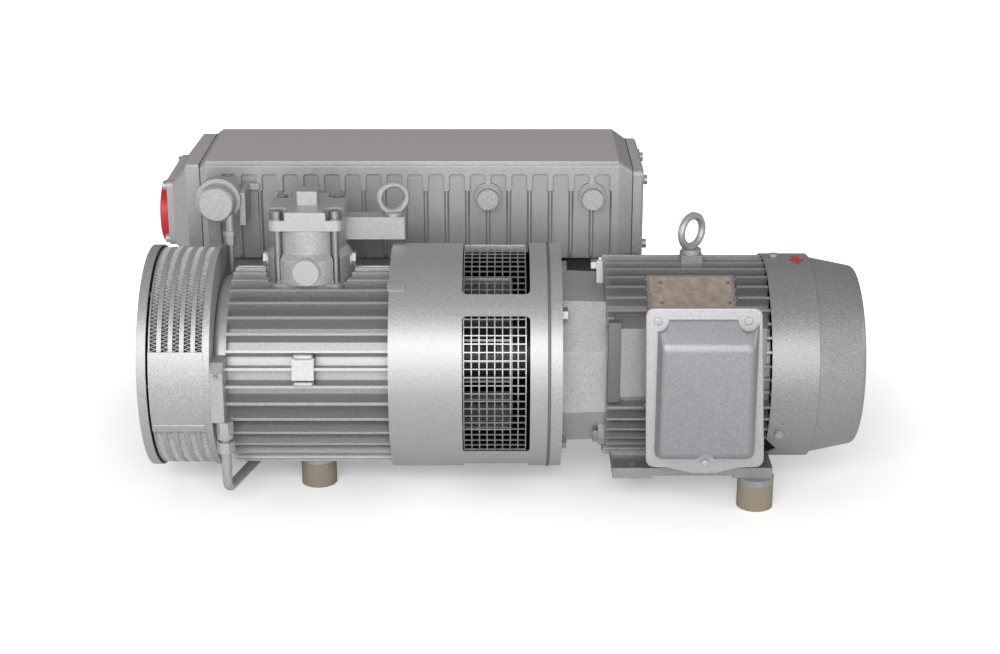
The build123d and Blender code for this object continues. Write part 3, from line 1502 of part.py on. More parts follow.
# Oil separator box: ribbed housing with the sump below its left part
section_height = box_top - box_bottom
section_depth = box_back - box_front
section_y = (box_back + box_front) / 2
section_z = (box_top + box_bottom) / 2
x_sump = x_box + sump_start
x_float = x_box + float_valve_x
x_service = x_box + service_x
pocket_bottom = box_bottom - box_round
sump_depth = sump_back - sump_front
sump_section = (sump_back + sump_front) / 2
pocket_middle = x_service - pocket_lead * pocket_pitch
trough_width = pocket_pitch - rib_crest
trough_draft = degrees(atan((trough_width - pocket_width) / (2 * pocket_depth)))
opening_depth = section_depth - 2 * (end_inset + box_wall) - pocket_depth
opening_height = section_height - 2 * (right_end_drop + box_wall)
with BuildPart() as separator_box:
    with BuildSketch(across(x_box + left_end_bevel)):
        with Locations((section_y, section_z)):
            RectangleRounded(section_depth, section_height, box_round)
    extrude(amount=box_length - left_end_bevel - right_end_bevel)
    with BuildSketch(across(x_box + left_end_bevel)) as left_bevel_base:
        with Locations((section_y, section_z)):
            RectangleRounded(section_depth, section_height, box_round)
    with BuildSketch(across(x_box)) as left_bevel_face:
        with Locations((section_y, section_z - left_end_drop / 2)):
            RectangleRounded(section_depth - 2 * end_inset, section_height - left_end_drop, box_round)
    loft(ruled=True)
    with BuildSketch(across(x_box_end - right_end_bevel)) as right_bevel_base:
        with Locations((section_y, section_z)):
            RectangleRounded(section_depth, section_height, box_round)
    with BuildSketch(across(x_box_end)) as right_bevel_face:
        with Locations((section_y, section_z - right_end_drop / 2)):
            RectangleRounded(section_depth - 2 * end_inset, section_height - right_end_drop, box_round)
    loft(ruled=True)
    with BuildSketch(facing(box_front)):
        with Locations((pocket_middle, pocket_bottom)):
            with GridLocations(pocket_pitch, 0, pocket_count, 1):
                Rectangle(
                    pocket_width, pocket_shoulder - pocket_bottom, align=(Align.CENTER, Align.MIN)
                )
        with Locations((pocket_middle, (pocket_top + pocket_shoulder) / 2 - pocket_corner)):
            with GridLocations(pocket_pitch, 0, pocket_count, 1):
                RectangleRounded(
                    pocket_width, pocket_top - pocket_shoulder + 2 * pocket_corner, pocket_corner
                )
    extrude(amount=-pocket_depth, mode=Mode.SUBTRACT)
    with BuildSketch(facing(box_front)):
        with Locations((pocket_middle, (pocket_bottom + pocket_shoulder) / 2)):
            with GridLocations(pocket_pitch, 0, pocket_count, 1):
                Rectangle(trough_width, pocket_shoulder - pocket_bottom)
    extrude(amount=-pocket_depth, taper=trough_draft, mode=Mode.SUBTRACT)
    with BuildSketch(facing(box_front)):
        with Locations((x_service, service_height), (x_service + service_spacing, service_height)):
            Circle(service_pad_radius)
    extrude(amount=-pocket_depth)
    with BuildSketch(facing(back_reach)):
        with Locations((pocket_middle, section_z)):
            with GridLocations(back_rib_pitch, 0, back_rib_count, 1):
                Rectangle(back_rib_width, section_height - 2 * box_round)
    extrude(amount=back_reach - box_back)
    with BuildSketch(across(x_sump)):
        with Locations((sump_section, sump_bottom)):
            Rectangle(sump_depth, box_bottom + box_wall - sump_bottom, align=(Align.CENTER, Align.MIN))
    extrude(amount=sump_length)
    fillet(
        separator_box.edges().filter_by(Axis.X).group_by(Axis.Z)[0],
        sump_round,
    )
    with BuildSketch(level(-foot_pad_drop)):
        with Locations((x_pump_foot, sump_foot_y)):
            Circle(foot_radius)
    extrude(amount=foot_pad_drop + sump_bottom + box_wall)
    with BuildSketch(across(x_box + end_flange_width)):
        with Locations((section_y + pocket_depth / 2, section_z)):
            Rectangle(section_depth - 2 * box_wall - pocket_depth, section_height - 2 * box_wall)
    extrude(amount=box_length - end_flange_width - end_flange_length, mode=Mode.SUBTRACT)
    with BuildSketch(across(x_box)):
        with Locations((section_y + pocket_depth / 2, section_z)):
            Rectangle(opening_depth, opening_height)
    extrude(amount=box_length, mode=Mode.SUBTRACT)
    with BuildSketch(across(x_sump + box_wall)):
        with Locations((sump_section, sump_bottom + box_wall)):
            Rectangle(
                sump_depth - 2 * box_wall, box_bottom + box_wall - sump_bottom,
                align=(Align.CENTER, Align.MIN),
            )
    extrude(amount=sump_length - 2 * box_wall, mode=Mode.SUBTRACT)
    with BuildSketch(facing(sump_front)):
        with Locations((x_inlet, duct_rise)):
            Rectangle(duct_bore_width, duct_bore_height)
    extrude(amount=-box_wall, mode=Mode.SUBTRACT)
    with BuildSketch(
        across(x_float - float_bracket_width / 2 - box_wall),
        across(x_float + float_bracket_width / 2),
    ):
        with Locations((sump_front, float_valve_height)):
            Rectangle(
                float_pin_y - sump_front + 2 * float_pin_radius, 4 * float_pin_radius,
                align=(Align.MIN, Align.CENTER),
            )
    extrude(amount=box_wall)
    with BuildSketch(across(x_float - float_bracket_width / 2)):
        with Locations((float_pin_y, float_valve_height)):
            Circle(float_pin_radius)
    extrude(amount=float_bracket_width)
separator_box.part.label = "separator_box"
export_step(separator_box.part, "parts/separator_box.step")

with BuildPart() as float_valve:
    with BuildSketch(across(x_float - float_arm_width / 2)):
        with Locations((float_pin_y, float_valve_height)):
            Circle(2 * float_pin_radius)
            Rectangle(float_arm, float_arm_height, align=(Align.MIN, Align.CENTER))
            Circle(float_pin_radius + running_fit, mode=Mode.SUBTRACT)
    extrude(amount=float_arm_width)
    with BuildSketch(across(x_float - float_length / 2)):
        with Locations((float_pin_y + float_arm, float_valve_height)):
            Circle(float_radius)
    extrude(amount=float_length)
float_valve.part.label = "float_valve"
export_step(float_valve.part, "parts/float_valve.step")

with BuildPart() as exhaust_valve:
    with BuildSketch(facing(sump_front + box_wall)):
        with Locations((x_inlet, duct_rise)):
            Rectangle(duct_bore_width + 2 * box_wall, duct_bore_height + 2 * box_wall)
            with GridLocations(duct_bore_width / 4, 0, 4, 1):
                Rectangle(valve_slot_width, duct_bore_height, mode=Mode.SUBTRACT)
    extrude(amount=-valve_thickness)
    with BuildSketch(facing(sump_front + box_wall + valve_thickness)):
        with Locations((x_inlet, duct_rise)):
            Rectangle(duct_bore_width + 2 * box_wall, duct_bore_height + 2 * box_wall)
    extrude(amount=-leaf_thickness)
exhaust_valve.part.label = "exhaust_valve"
export_step(exhaust_valve.part, "parts/exhaust_valve.step")

x_filter_plate = x_box + filter_plate_x
with BuildPart() as exhaust_filters:
    with BuildSketch(across(x_filter_plate)):
        with Locations((section_y + pocket_depth / 2, section_z)):
            Rectangle(section_depth - 2 * box_wall - pocket_depth, section_height - 2 * box_wall)
    extrude(amount=filter_plate_thickness)
    with BuildSketch(across(x_filter_plate + filter_plate_thickness / 2)):
        with Locations((section_y, filter_height)):
            with GridLocations(filter_pitch, 0, filter_count, 1):
                Circle(filter_radius)
    extrude(amount=filter_length)
    with BuildSketch(across(x_filter_plate)):
        with Locations((section_y, filter_height)):
            with GridLocations(filter_pitch, 0, filter_count, 1):
                Circle(filter_mouth_radius)
    extrude(amount=5 * filter_plate_thickness, mode=Mode.SUBTRACT)
exhaust_filters.part.label = "exhaust_filters"
export_step(exhaust_filters.part, "parts/exhaust_filters.step")

# End covers of the box with their gaskets
x_right_cover = x_box_end + box_gasket
x_left_cover = x_box - box_gasket - left_cover_length
x_left_plate = x_left_cover - left_bevel_length
with BuildPart() as cover_gaskets:
    with BuildSketch(across(x_box - box_gasket)):
        with Locations((section_y, section_z - left_end_drop / 2)):
            RectangleRounded(section_depth - 2 * end_inset, section_height - left_end_drop, box_round)
        with Locations((section_y + pocket_depth / 2, section_z)):
            Rectangle(opening_depth, opening_height, mode=Mode.SUBTRACT)
    extrude(amount=box_gasket)
    with BuildSketch(across(x_box_end)):
        with Locations((section_y, section_z - right_end_drop / 2)):
            RectangleRounded(section_depth - 2 * end_inset, section_height - right_end_drop, box_round)
        with Locations((section_y + pocket_depth / 2, section_z)):
            Rectangle(opening_depth, opening_height, mode=Mode.SUBTRACT)
    extrude(amount=box_gasket)
cover_gaskets.part.label = "cover_gaskets"
export_step(cover_gaskets.part, "parts/cover_gaskets.step")

with BuildPart() as right_cover:
    with BuildSketch(across(x_right_cover)):
        with Locations((section_y, section_z - right_end_drop / 2)):
            RectangleRounded(section_depth - 2 * end_inset, section_height - right_end_drop, box_round)
    extrude(amount=right_cover_length)
    chamfer(right_cover.edges().group_by(Axis.X)[-1], cover_edge)
right_cover.part.label = "right_cover"
export_step(right_cover.part, "parts/right_cover.step")

plate_depth = section_depth - 2 * left_bevel_front
plate_height = section_height - left_bevel_top - left_bevel_bottom
plate_z = section_z - (left_bevel_top - left_bevel_bottom) / 2
with BuildPart() as left_cover:
    with BuildSketch(across(x_left_cover)):
        with Locations((section_y, section_z - left_end_drop / 2)):
            RectangleRounded(section_depth - 2 * end_inset, section_height - left_end_drop, box_round)
    extrude(amount=left_cover_length)
    with BuildSketch(across(x_left_cover)) as bevel_base:
        with Locations((section_y, section_z - left_end_drop / 2)):
            RectangleRounded(section_depth - 2 * end_inset, section_height - left_end_drop, box_round)
    with BuildSketch(across(x_left_plate)) as bevel_top:
        with Locations((section_y, plate_z)):
            RectangleRounded(plate_depth, plate_height, box_round)
    loft(ruled=True)
    with BuildSketch(across(x_left_plate)):
        with Locations((section_y, plate_z)):
            RectangleRounded(plate_depth, plate_height, box_round)
    extrude(amount=-left_plate_length)
    with BuildSketch(across(x_left_plate - left_plate_length)):
        with Locations((exhaust_y, exhaust_z)):
            Circle(exhaust_stub_radius)
    extrude(amount=-exhaust_port_stub)
    with BuildSketch(across(x_left_plate - left_plate_length - exhaust_port_stub)):
        with Locations((exhaust_y, exhaust_z)):
            Circle(exhaust_port_radius)
    extrude(amount=x_box - x_left_plate + left_plate_length + exhaust_port_stub, mode=Mode.SUBTRACT)
left_cover.part.label = "left_cover"
export_step(left_cover.part, "parts/left_cover.step")

with BuildPart() as exhaust_cap:
    with BuildSketch(across(x_left)):
        with Locations((exhaust_y, exhaust_z)):
            Circle(exhaust_cap_radius)
    extrude(amount=exhaust_cap_length - gap)
    chamfer(exhaust_cap.edges().group_by(Axis.X)[0], exhaust_cap_edge / 2)
    with BuildSketch(across(x_left + exhaust_cap_length - exhaust_port_stub - gap)):
        with Locations((exhaust_y, exhaust_z)):
            Circle(exhaust_stub_radius + running_fit)
    extrude(amount=exhaust_cap_length, mode=Mode.SUBTRACT)
exhaust_cap.part.label = "exhaust_cap"
export_step(exhaust_cap.part, "parts/exhaust_cap.step")

# Screws of box covers, terminal lid and fan cover
with BuildPart() as cover_screws:
    with BuildSketch(across(x_right_cover + right_cover_length)):
        for back, up in cover_screw_points:
            with Locations((box_front + back, box_bottom + up)):
                Circle(cover_screw_size_radius)
    extrude(amount=cover_screw_size_height)
    with BuildSketch(across(x_left_plate - left_plate_length)):
        with Locations((section_y, plate_z)):
            with GridLocations(plate_depth - 4 * box_round / 2, plate_height - 2 * box_round, 2, 2):
                Circle(cover_screw_size_radius)
    extrude(amount=-cover_screw_size_height)
    with BuildSketch(facing(-lid_flange_back - lid_flange_length)):
        with Locations(*lid_screw_places):
            Circle(lid_screw_radius)
    extrude(amount=lid_screw_height)
    with BuildSketch(
        *[
            outward(x_fan_cover + cover_screw_inset, angle, cover_band_radius)
            for angle in cover_screw_angles
        ]
    ):
        Circle(cover_screw_radius)
    extrude(amount=cover_screw_height)
cover_screws.part.label = "cover_screws"
export_step(cover_screws.part, "parts/cover_screws.step")

with BuildPart() as service_plugs:
    with BuildSketch(facing(box_front)):
        with Locations((x_service, service_height), (x_service + service_spacing, service_height)):
            Circle(service_base_radius)
    extrude(amount=service_base_length)
    with BuildSketch(facing(box_front - service_base_length)):
        with Locations((x_service, service_height), (x_service + service_spacing, service_height)):
            Circle(service_radius)
    extrude(amount=service_length - service_base_length)
service_plugs.part.label = "service_plugs"
export_step(service_plugs.part, "parts/service_plugs.step")

# Sight glass, fill plug and drain plug on the sump, oil filter beside it
with BuildPart() as sump_fittings:
    with BuildSketch(across(x_sump)):
        with Locations((sump_section, sight_drop)):
            Circle(sight_radius)
            Circle(sight_glass_radius, mode=Mode.SUBTRACT)
        with Locations((sump_section, sight_drop + fill_rise)):
            Circle(fill_radius)
    extrude(amount=-fill_length)
    with BuildSketch(across(x_sump)):
        with Locations((sump_section, sight_drop)):
            Circle(sight_glass_radius)
    extrude(amount=-sight_length)
    with BuildSketch(level(sump_bottom)):
        with Locations((x_sump + drain_x, sump_section)):
            RegularPolygon(drain_size / 2, 6)
    extrude(amount=-drain_length)
sump_fittings.part.label = "sump_fittings"
export_step(sump_fittings.part, "parts/sump_fittings.step")

with BuildPart() as oil_filter:
    with BuildSketch(level(box_bottom)):
        with Locations((x_box + oil_filter_x, section_y)):
            Circle(oil_filter_radius - oil_filter_edge)
    extrude(amount=-oil_filter_head)
    with BuildSketch(level(box_bottom - oil_filter_head)):
        with Locations((x_box + oil_filter_x, section_y)):
            Circle(oil_filter_radius)
    extrude(amount=-oil_filter_length)
    chamfer(oil_filter.edges().group_by(Axis.Z)[0], oil_filter_edge)
oil_filter.part.label = "oil_filter"
export_step(oil_filter.part, "parts/oil_filter.step")

# Rubber feet with threaded inserts
with BuildPart() as rubber_feet:
    with BuildSketch(Plane.XY):
        with Locations(
            (x_pump_foot, shaft_y + pump_foot_y),
            (x_pump_foot, shaft_y + sump_foot_y),
            (x_motor_foot, shaft_y - motor_foot_y),
            (x_motor_foot, shaft_y + motor_foot_y),
        ):
            Circle(foot_radius)
    extrude(amount=foot_rubber_height)
rubber_feet.part.label = "rubber_feet"
export_step(rubber_feet.part, "parts/rubber_feet.step")
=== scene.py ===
# %% [markdown]
# # An oil-sealed rotary vane pump, dressed for its picture
# The CAD model is the fixed frame of this lesson. It gives every real piece its place and its
# joint.
# Here the pieces get their finishes, and the fine work that sheet metal and castings show is
# modelled round them.
# Lengths are in metres and +Z is up. The motor's shaft runs along X, and the viewer stands at -Y.

import math

import bpy
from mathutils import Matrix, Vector


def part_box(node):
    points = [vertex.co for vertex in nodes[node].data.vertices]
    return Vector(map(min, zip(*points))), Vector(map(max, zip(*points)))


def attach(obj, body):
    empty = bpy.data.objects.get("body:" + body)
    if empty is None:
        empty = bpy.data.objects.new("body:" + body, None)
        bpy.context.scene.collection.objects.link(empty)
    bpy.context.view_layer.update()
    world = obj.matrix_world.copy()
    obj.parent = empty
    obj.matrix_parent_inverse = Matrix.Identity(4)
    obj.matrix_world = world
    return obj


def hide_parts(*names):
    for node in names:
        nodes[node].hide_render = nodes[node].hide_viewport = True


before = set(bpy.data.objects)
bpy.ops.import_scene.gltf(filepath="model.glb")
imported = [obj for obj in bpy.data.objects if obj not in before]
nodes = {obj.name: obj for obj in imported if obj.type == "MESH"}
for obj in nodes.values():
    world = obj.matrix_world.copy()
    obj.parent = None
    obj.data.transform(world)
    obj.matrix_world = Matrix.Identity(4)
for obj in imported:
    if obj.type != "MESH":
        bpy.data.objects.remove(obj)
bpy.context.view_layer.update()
print("pieces in the frame:", len(nodes))

# %% [markdown]
# ## Small helpers for finishes
# A finish is a shader tree. One function adds a node with its settings and its links, so each
# recipe below stays short.
# Screen colours are picked as hex values and turned into the linear values that the shader counts
# with.

# %% Colour and node helpers
def linear(hex_colour):
    """The linear colour of an sRGB hex value, with full opacity."""
    channels = [int(hex_colour[i : i + 2], 16) / 255 for i in (1, 3, 5)]
    curved = [c / 12.92 if c <= 0.04045 else ((c + 0.055) / 1.055) ** 2.4 for c in channels]
    return (*curved, 1)


def add_node(tree, kind, links=None, settings=None, **values):
    """Adds a node.

    Settings are its properties, values its sockets, and links are sockets fed by another node.
    """
    node = tree.nodes.new(kind)
    for key, value in (settings or {}).items():
        setattr(node, key, value)
    for key, value in values.items():
        node.inputs[key.replace("_", " ")].default_value = value
    for key, source in (links or {}).items():
        socket = key if isinstance(key, int) else key.replace("_", " ")
        tree.links.new(source, node.inputs[socket])
    return node


def ramp(tree, source, stops):
    """A colour ramp fed by a value. Each stop is a place from 0 to 1 and a hex colour."""
    node = add_node(tree, "ShaderNodeValToRGB", {"Fac": source})
    elements = node.color_ramp.elements
    while len(elements) < len(stops):
        elements.new(0.5)
    for element, (place, colour) in zip(elements, stops):
        element.position = place
        element.color = linear(colour)
    return node.outputs["Color"]


print("red in linear light:", [round(c, 3) for c in linear("#C8282F")])

# %% Materials, grain and relief
def start_material(name):
    """An empty material with its tree, its surface shader and the place on the piece in metres."""
    material = bpy.data.materials.new(name)
    material.use_nodes = True
    tree = material.node_tree
    tree.nodes.clear()
    output = add_node(tree, "ShaderNodeOutputMaterial")
    shader = add_node(tree, "ShaderNodeBsdfPrincipled")
    tree.links.new(shader.outputs["BSDF"], output.inputs["Surface"])
    place = add_node(tree, "ShaderNodeTexCoord").outputs["Object"]
    return material, tree, shader, place


def grain(tree, place, size, detail=2, roughness=0.55):
    """Cloudy noise whose spots are about size metres wide."""
    links = {"Vector": place}
    return add_node(
        tree, "ShaderNodeTexNoise", links, Scale=1 / size, Detail=detail, Roughness=roughness
    ).outputs["Fac"]


def bump(tree, height, depth, normal=None):
    """Small relief of the given depth in metres, laid over an earlier relief if there is one."""
    links = {"Height": height}
    if normal is not None:
        links["Normal"] = normal
    return add_node(
        tree, "ShaderNodeBump", links, Distance=depth, Strength=1.0
    ).outputs["Normal"]


def spread_gloss(tree, shader, spots, gloss, below, above):
    """Lets the roughness follow the spots, from gloss - below up to gloss + above."""
    rough = add_node(
        tree, "ShaderNodeMapRange", {"Value": spots},
        From_Min=0.3, From_Max=0.7, To_Min=gloss - below, To_Max=gloss + above,
    )
    tree.links.new(rough.outputs["Result"], shader.inputs["Roughness"])


print("materials so far:", len(bpy.data.materials))

# %% [markdown]
# ## The silver paint
# Castings and sheet covers wear a structured aluminium paint with small rounded grains.
# The grains, about two millimetres wide, scatter the highlight, so the paint reads as soft satin
# metal and not as a mirror. It is one paint. Its tones here differ a little from piece to piece,
# lighter or darker copies as painted light and shade, chosen to match the reference picture and
# its light.

# %% Structured silver paint
def structured_paint(name, dark, middle, light, grain_size, relief, gloss, edge_round):
    """Silver paint with flake mottling and a grained relief that runs over softly rounded edges."""
    material, tree, shader, place = start_material(name)
    flakes = grain(tree, place, grain_size, detail=3, roughness=0.6)
    tree.links.new(
        ramp(tree, flakes, [(0.32, dark), (0.5, middle), (0.68, light)]),
        shader.inputs["Base Color"],
    )
    shader.inputs["Metallic"].default_value = 0.62
    edges = add_node(tree, "ShaderNodeBevel", settings={"samples": 4}, Radius=edge_round)
    spread_gloss(tree, shader, flakes, gloss, below=0.06, above=0.08)
    relief_normal = bump(tree, flakes, relief, normal=edges.outputs["Normal"])
    tree.links.new(relief_normal, shader.inputs["Normal"])
    return material


print("recipe:", structured_paint.__doc__)

# %% Silver paints
silver_cast = structured_paint(
    "silver_paint_on_castings", "#A09EA1", "#AEACAF", "#BDBBBE",
    grain_size=0.0022, relief=0.00028, gloss=0.46, edge_round=0.0010,
)
silver_sheet = structured_paint(
    "silver_paint_on_sheet", "#A19FA2", "#ACAAAD", "#B7B5B8",
    grain_size=0.0020, relief=0.00022, gloss=0.45, edge_round=0.0004,
)
silver_plate = structured_paint(
    "silver_paint_on_lids", "#A9A7AA", "#B4B2B5", "#BFBDC0",
    grain_size=0.0020, relief=0.00022, gloss=0.46, edge_round=0.0010,
)
silver_box = structured_paint(
    "silver_paint_on_the_box", "#9D9B9E", "#A8A6A9", "#B3B1B4",
    grain_size=0.0020, relief=0.0002, gloss=0.5, edge_round=0.0004,
)
# Painted shade: the motor's copy of the paint is drawn darker than the others.
silver_motor_shaded = structured_paint(
    "silver_paint_shaded_on_the_motor", "#8B898C", "#99979A", "#A7A5A8",
    grain_size=0.0021, relief=0.00026, gloss=0.42, edge_round=0.0008,
)

print("paints:", silver_cast.name, silver_sheet.name, silver_plate.name, silver_box.name)

# %% Paler top of the box, a painted reflection
# Places of the colour sockets on a mix node.
MIX_FACTOR, MIX_FIRST, MIX_SECOND, MIX_RESULT = 0, 6, 7, 2


def paint_top_reflection(material, colour):
    """Paints a reflection: blends to a paler colour where a face looks straight up."""
    tree = material.node_tree
    shader = next(node for node in tree.nodes if node.type == "BSDF_PRINCIPLED")
    painted = shader.inputs["Base Color"].links[0].from_socket
    facing = add_node(tree, "ShaderNodeTexCoord").outputs["Normal"]
    upward = add_node(tree, "ShaderNodeSeparateXYZ", {"Vector": facing}).outputs["Z"]
    reflection_share = add_node(
        tree, "ShaderNodeMapRange", {"Value": upward}, From_Min=0.93, From_Max=0.99
    )
    mix = add_node(
        tree, "ShaderNodeMix", {MIX_FACTOR: reflection_share.outputs["Result"], MIX_FIRST: painted},
        {"data_type": "RGBA"},
    )
    mix.inputs[MIX_SECOND].default_value = linear(colour)
    tree.links.new(mix.outputs[MIX_RESULT], shader.inputs["Base Color"])


# The flat top of the box is drawn paler than its sides, a painted reflection and no paint of its
# own.
paint_top_reflection(silver_box, "#CBC6CA")
print("paler on top:", silver_box.name)

# %% [markdown]
# ## Bare and plated metal
# Bolts are zinc plated, fins are rolled aluminium, and the shafts inside are ground steel.
# They differ by tint, by how their surface was left, and by how much a dull skin takes away
# from the reflection of metal.

# %% Metals
def bare_metal(name, dark, light, spot_size, gloss, relief, metal=1.0):
    """Uncoated or plated metal with faint stains. Below 1, metal stands for a dull oxide skin."""
    material, tree, shader, place = start_material(name)
    stains = grain(tree, place, spot_size, detail=4, roughness=0.65)
    tree.links.new(
        ramp(tree, stains, [(0.3, dark), (0.7, light)]), shader.inputs["Base Color"]
    )
    shader.inputs["Metallic"].default_value = metal
    spread_gloss(tree, shader, stains, gloss, below=0.07, above=0.1)
    tree.links.new(bump(tree, stains, relief), shader.inputs["Normal"])
    return material


zinc = bare_metal(
    "zinc_plated_steel", "#8C8C90", "#B0B0B4", spot_size=0.003, gloss=0.42, relief=0.00005
)
fin_metal = bare_metal(
    "rolled_aluminium_fins", "#C6C5C7", "#F2F1F3",
    spot_size=0.004, gloss=0.4, relief=0.00008, metal=0.35,
)
ground_steel = bare_metal(
    "ground_steel", "#77787B", "#909194", spot_size=0.006, gloss=0.3, relief=0.00002
)
cast_iron = bare_metal(
    "oiled_cast_iron", "#3F3E3F", "#545354", spot_size=0.004, gloss=0.45, relief=0.0001
)
iron_sheets = bare_metal(
    "stacked_iron_sheets", "#4C4A49", "#5E5C5A", spot_size=0.002, gloss=0.5, relief=0.0001
)
brass = bare_metal(
    "turned_brass", "#A98A4E", "#CBAE6C", spot_size=0.004, gloss=0.32, relief=0.00004
)
plate_metal = bare_metal(
    "aged_bronze_plate", "#97887A", "#B8AA9D",
    spot_size=0.012, gloss=0.45, relief=0.00005, metal=0.45,
)
# The drum fan is taken for a bare aluminium casting, which catches the light behind its mesh.
fan_casting = bare_metal(
    "cast_aluminium_fan", "#838284", "#9A999B",
    spot_size=0.003, gloss=0.38, relief=0.00006, metal=0.8,
)
# Two darker tones of the silver paint, both painted shade and no second paint. They match how these
# faces look in the reference light: one for shaded slopes, edges and the filter head, one for the
# dome of the terminal lid.
pad_shade = structured_paint(
    "silver_paint_in_shade", "#68676A", "#727174", "#7C7B7E",
    grain_size=0.002, relief=0.0002, gloss=0.6, edge_round=0.0006,
)
dome_shade_paint = structured_paint(
    "silver_paint_in_shade_on_dome", "#88878B", "#939296", "#9E9DA1",
    grain_size=0.0020, relief=0.0002, gloss=0.44, edge_round=0.0006,
)
print("metals:", zinc.name, fin_metal.name, plate_metal.name)

# %% [markdown]
# ## Plastics, rubber and the rest
# Moulded caps have a faint orange peel from the tool. Rubber is matt and a little dusty.
# The gasket paper keeps a fibre pattern, and the pleated filter cloth is a felt.

# %% Plastics, rubber, fibre
def moulded(name, dark, light, spot_size, gloss, relief):
    """A coloured mass without metal: moulded plastic, rubber, pressed fibre or enamel."""
    material, tree, shader, place = start_material(name)
    spots = grain(tree, place, spot_size, detail=3)
    tree.links.new(
        ramp(tree, spots, [(0.3, dark), (0.7, light)]), shader.inputs["Base Color"]
    )
    spread_gloss(tree, shader, spots, gloss, below=0.05, above=0.08)
    tree.links.new(bump(tree, spots, relief), shader.inputs["Normal"])
    return material


red_cap = moulded(
    "moulded_red_plastic", "#B21F28", "#C62A32", spot_size=0.003, gloss=0.4, relief=0.00005
)
grey_plastic = moulded(
    "moulded_grey_plastic", "#5F6062", "#6C6D6F", spot_size=0.003, gloss=0.45, relief=0.00005
)
foot_rubber = moulded(
    "cast_foot_rubber", "#7D7365", "#92887A", spot_size=0.0018, gloss=0.82, relief=0.00015
)
seal_rubber = moulded(
    "black_seal_rubber", "#1B1B1C", "#28282A", spot_size=0.002, gloss=0.6, relief=0.00006
)
gasket_fibre = moulded(
    "teal_gasket_fibre", "#384342", "#434F4D", spot_size=0.0012, gloss=0.8, relief=0.00006
)
vane_fibre = moulded(
    "pressed_vane_composite", "#3A332C", "#4A4138", spot_size=0.002, gloss=0.55, relief=0.00006
)
filter_felt = moulded(
    "filter_felt", "#C9C3B4", "#DDD8CB", spot_size=0.002, gloss=0.9, relief=0.0002
)
filter_enamel = moulded(
    "spin_on_filter_enamel", "#23252A", "#2C2F35", spot_size=0.004, gloss=0.3, relief=0.00003
)
print("other finishes:", len(bpy.data.materials))

# %% [markdown]
# ## Who wears what
# Every CAD node gets its finish by name. Castings wear the coarse paint, the guard the fine one.

# %% Finishes on the frame
wears = [
    (
        silver_cast,
        "ballast_bracket", "cooler_header", "cooler_inner_plate", "cooler_outer_plate",
        "guard_flange", "inlet_body", "lifting_bar", "motor_adapter", "motor_end_shields",
        "motor_frame", "motor_lifting_eye", "oil_manifold", "pump_cylinder",
        "pump_drive_cover", "pump_end_cover", "pump_lifting_eye", "oil_pipe", "ballast_line",
        "ballast_filter", "service_plugs", "oil_fittings", "cover_screws",
    ),
    (silver_box, "separator_box", "left_cover", "right_cover"),
    (silver_sheet, "fan_guard"),
    (silver_motor_shaded, "fan_cover"),
    (
        silver_plate,
        "terminal_box", "terminal_lid", "inlet_cap", "inlet_side_plugs", "inlet_plug",
    ),
    (zinc, "flange_bolts", "inlet_bolts", "guard_mesh"),
    (fin_metal, "cooler_core"),
    (
        ground_steel,
        "inlet_valve_disc", "motor_rotor", "pump_rotor", "shaft_bearings", "exhaust_valve",
    ),
    (cast_iron, "coupling_hub_motor", "coupling_hub_pump", "cooler_fan"),
    (fan_casting, "drum_fan"),
    (iron_sheets, "motor_stator"),
    (brass, "sump_fittings"),
    (plate_metal, "motor_plate"),
    (red_cap, "exhaust_cap"),
    (grey_plastic, "motor_fan", "float_valve"),
    (foot_rubber, "rubber_feet"),
    (seal_rubber, "shaft_seals", "coupling_spider"),
    (gasket_fibre, "cover_gaskets"),
    (vane_fibre, "vane_front", "vane_lower", "vane_upper"),
    (filter_felt, "exhaust_filters"),
    (filter_enamel, "oil_filter"),
]
for finish, *names in wears:
    for name in names:
        slots = nodes[name].material_slots
        for slot in slots:
            slot.material = finish
        if not slots:
            nodes[name].data.materials.append(finish)
dressed = {name for _, *names in wears for name in names}
print("without a finish:", sorted(set(nodes) - dressed))

# %% [markdown]
# ## Tools of the modeller
# Every extra piece starts as a primitive and is shaped in edit mode, as it would be by hand.
# A turned piece is an outline spun round its axis. A plate is an outline filled and extruded.

# %% Outlines, turned pieces and plates
SHAFT_Y = -0.079
SHAFT_Z = 0.1755


def mm(*values):
    """Millimetres to metres."""
    return tuple(value / 1000 for value in values)


def outline(name, points, closed=True):
    """A chain of edges through the points, one vertex extruded after the other."""
    bpy.ops.object.select_all(action="DESELECT")
    bpy.ops.mesh.primitive_plane_add(size=0.001)
    piece = bpy.context.active_object
    piece.name = name
    bpy.context.tool_settings.mesh_select_mode = (True, False, False)
    bpy.ops.object.mode_set(mode="EDIT")
    bpy.ops.mesh.select_all(action="SELECT")
    bpy.ops.mesh.merge(type="CENTER")
    bpy.ops.transform.translate(value=points[0])
    chain = [*points, points[0]] if closed else points
    for before, after in zip(chain, chain[1:]):
        step = [b - a for a, b in zip(before, after)]
        bpy.ops.mesh.extrude_vertices_move(TRANSFORM_OT_translate={"value": step})
    bpy.ops.mesh.select_all(action="SELECT")
    bpy.ops.mesh.remove_doubles(threshold=1e-6)
    bpy.ops.object.mode_set(mode="OBJECT")
    return piece


def turned(name, points, steps):
    """Spins a closed outline once round the shaft."""
    piece = outline(name, points)
    bpy.ops.object.mode_set(mode="EDIT")
    bpy.ops.mesh.select_all(action="SELECT")
    bpy.ops.mesh.spin(
        steps=steps, angle=math.radians(360), center=(0, SHAFT_Y, SHAFT_Z), axis=(1, 0, 0)
    )
    bpy.ops.mesh.select_all(action="SELECT")
    bpy.ops.mesh.remove_doubles(threshold=1e-6)
    bpy.ops.mesh.normals_make_consistent(inside=False)
    bpy.ops.object.mode_set(mode="OBJECT")
    return piece


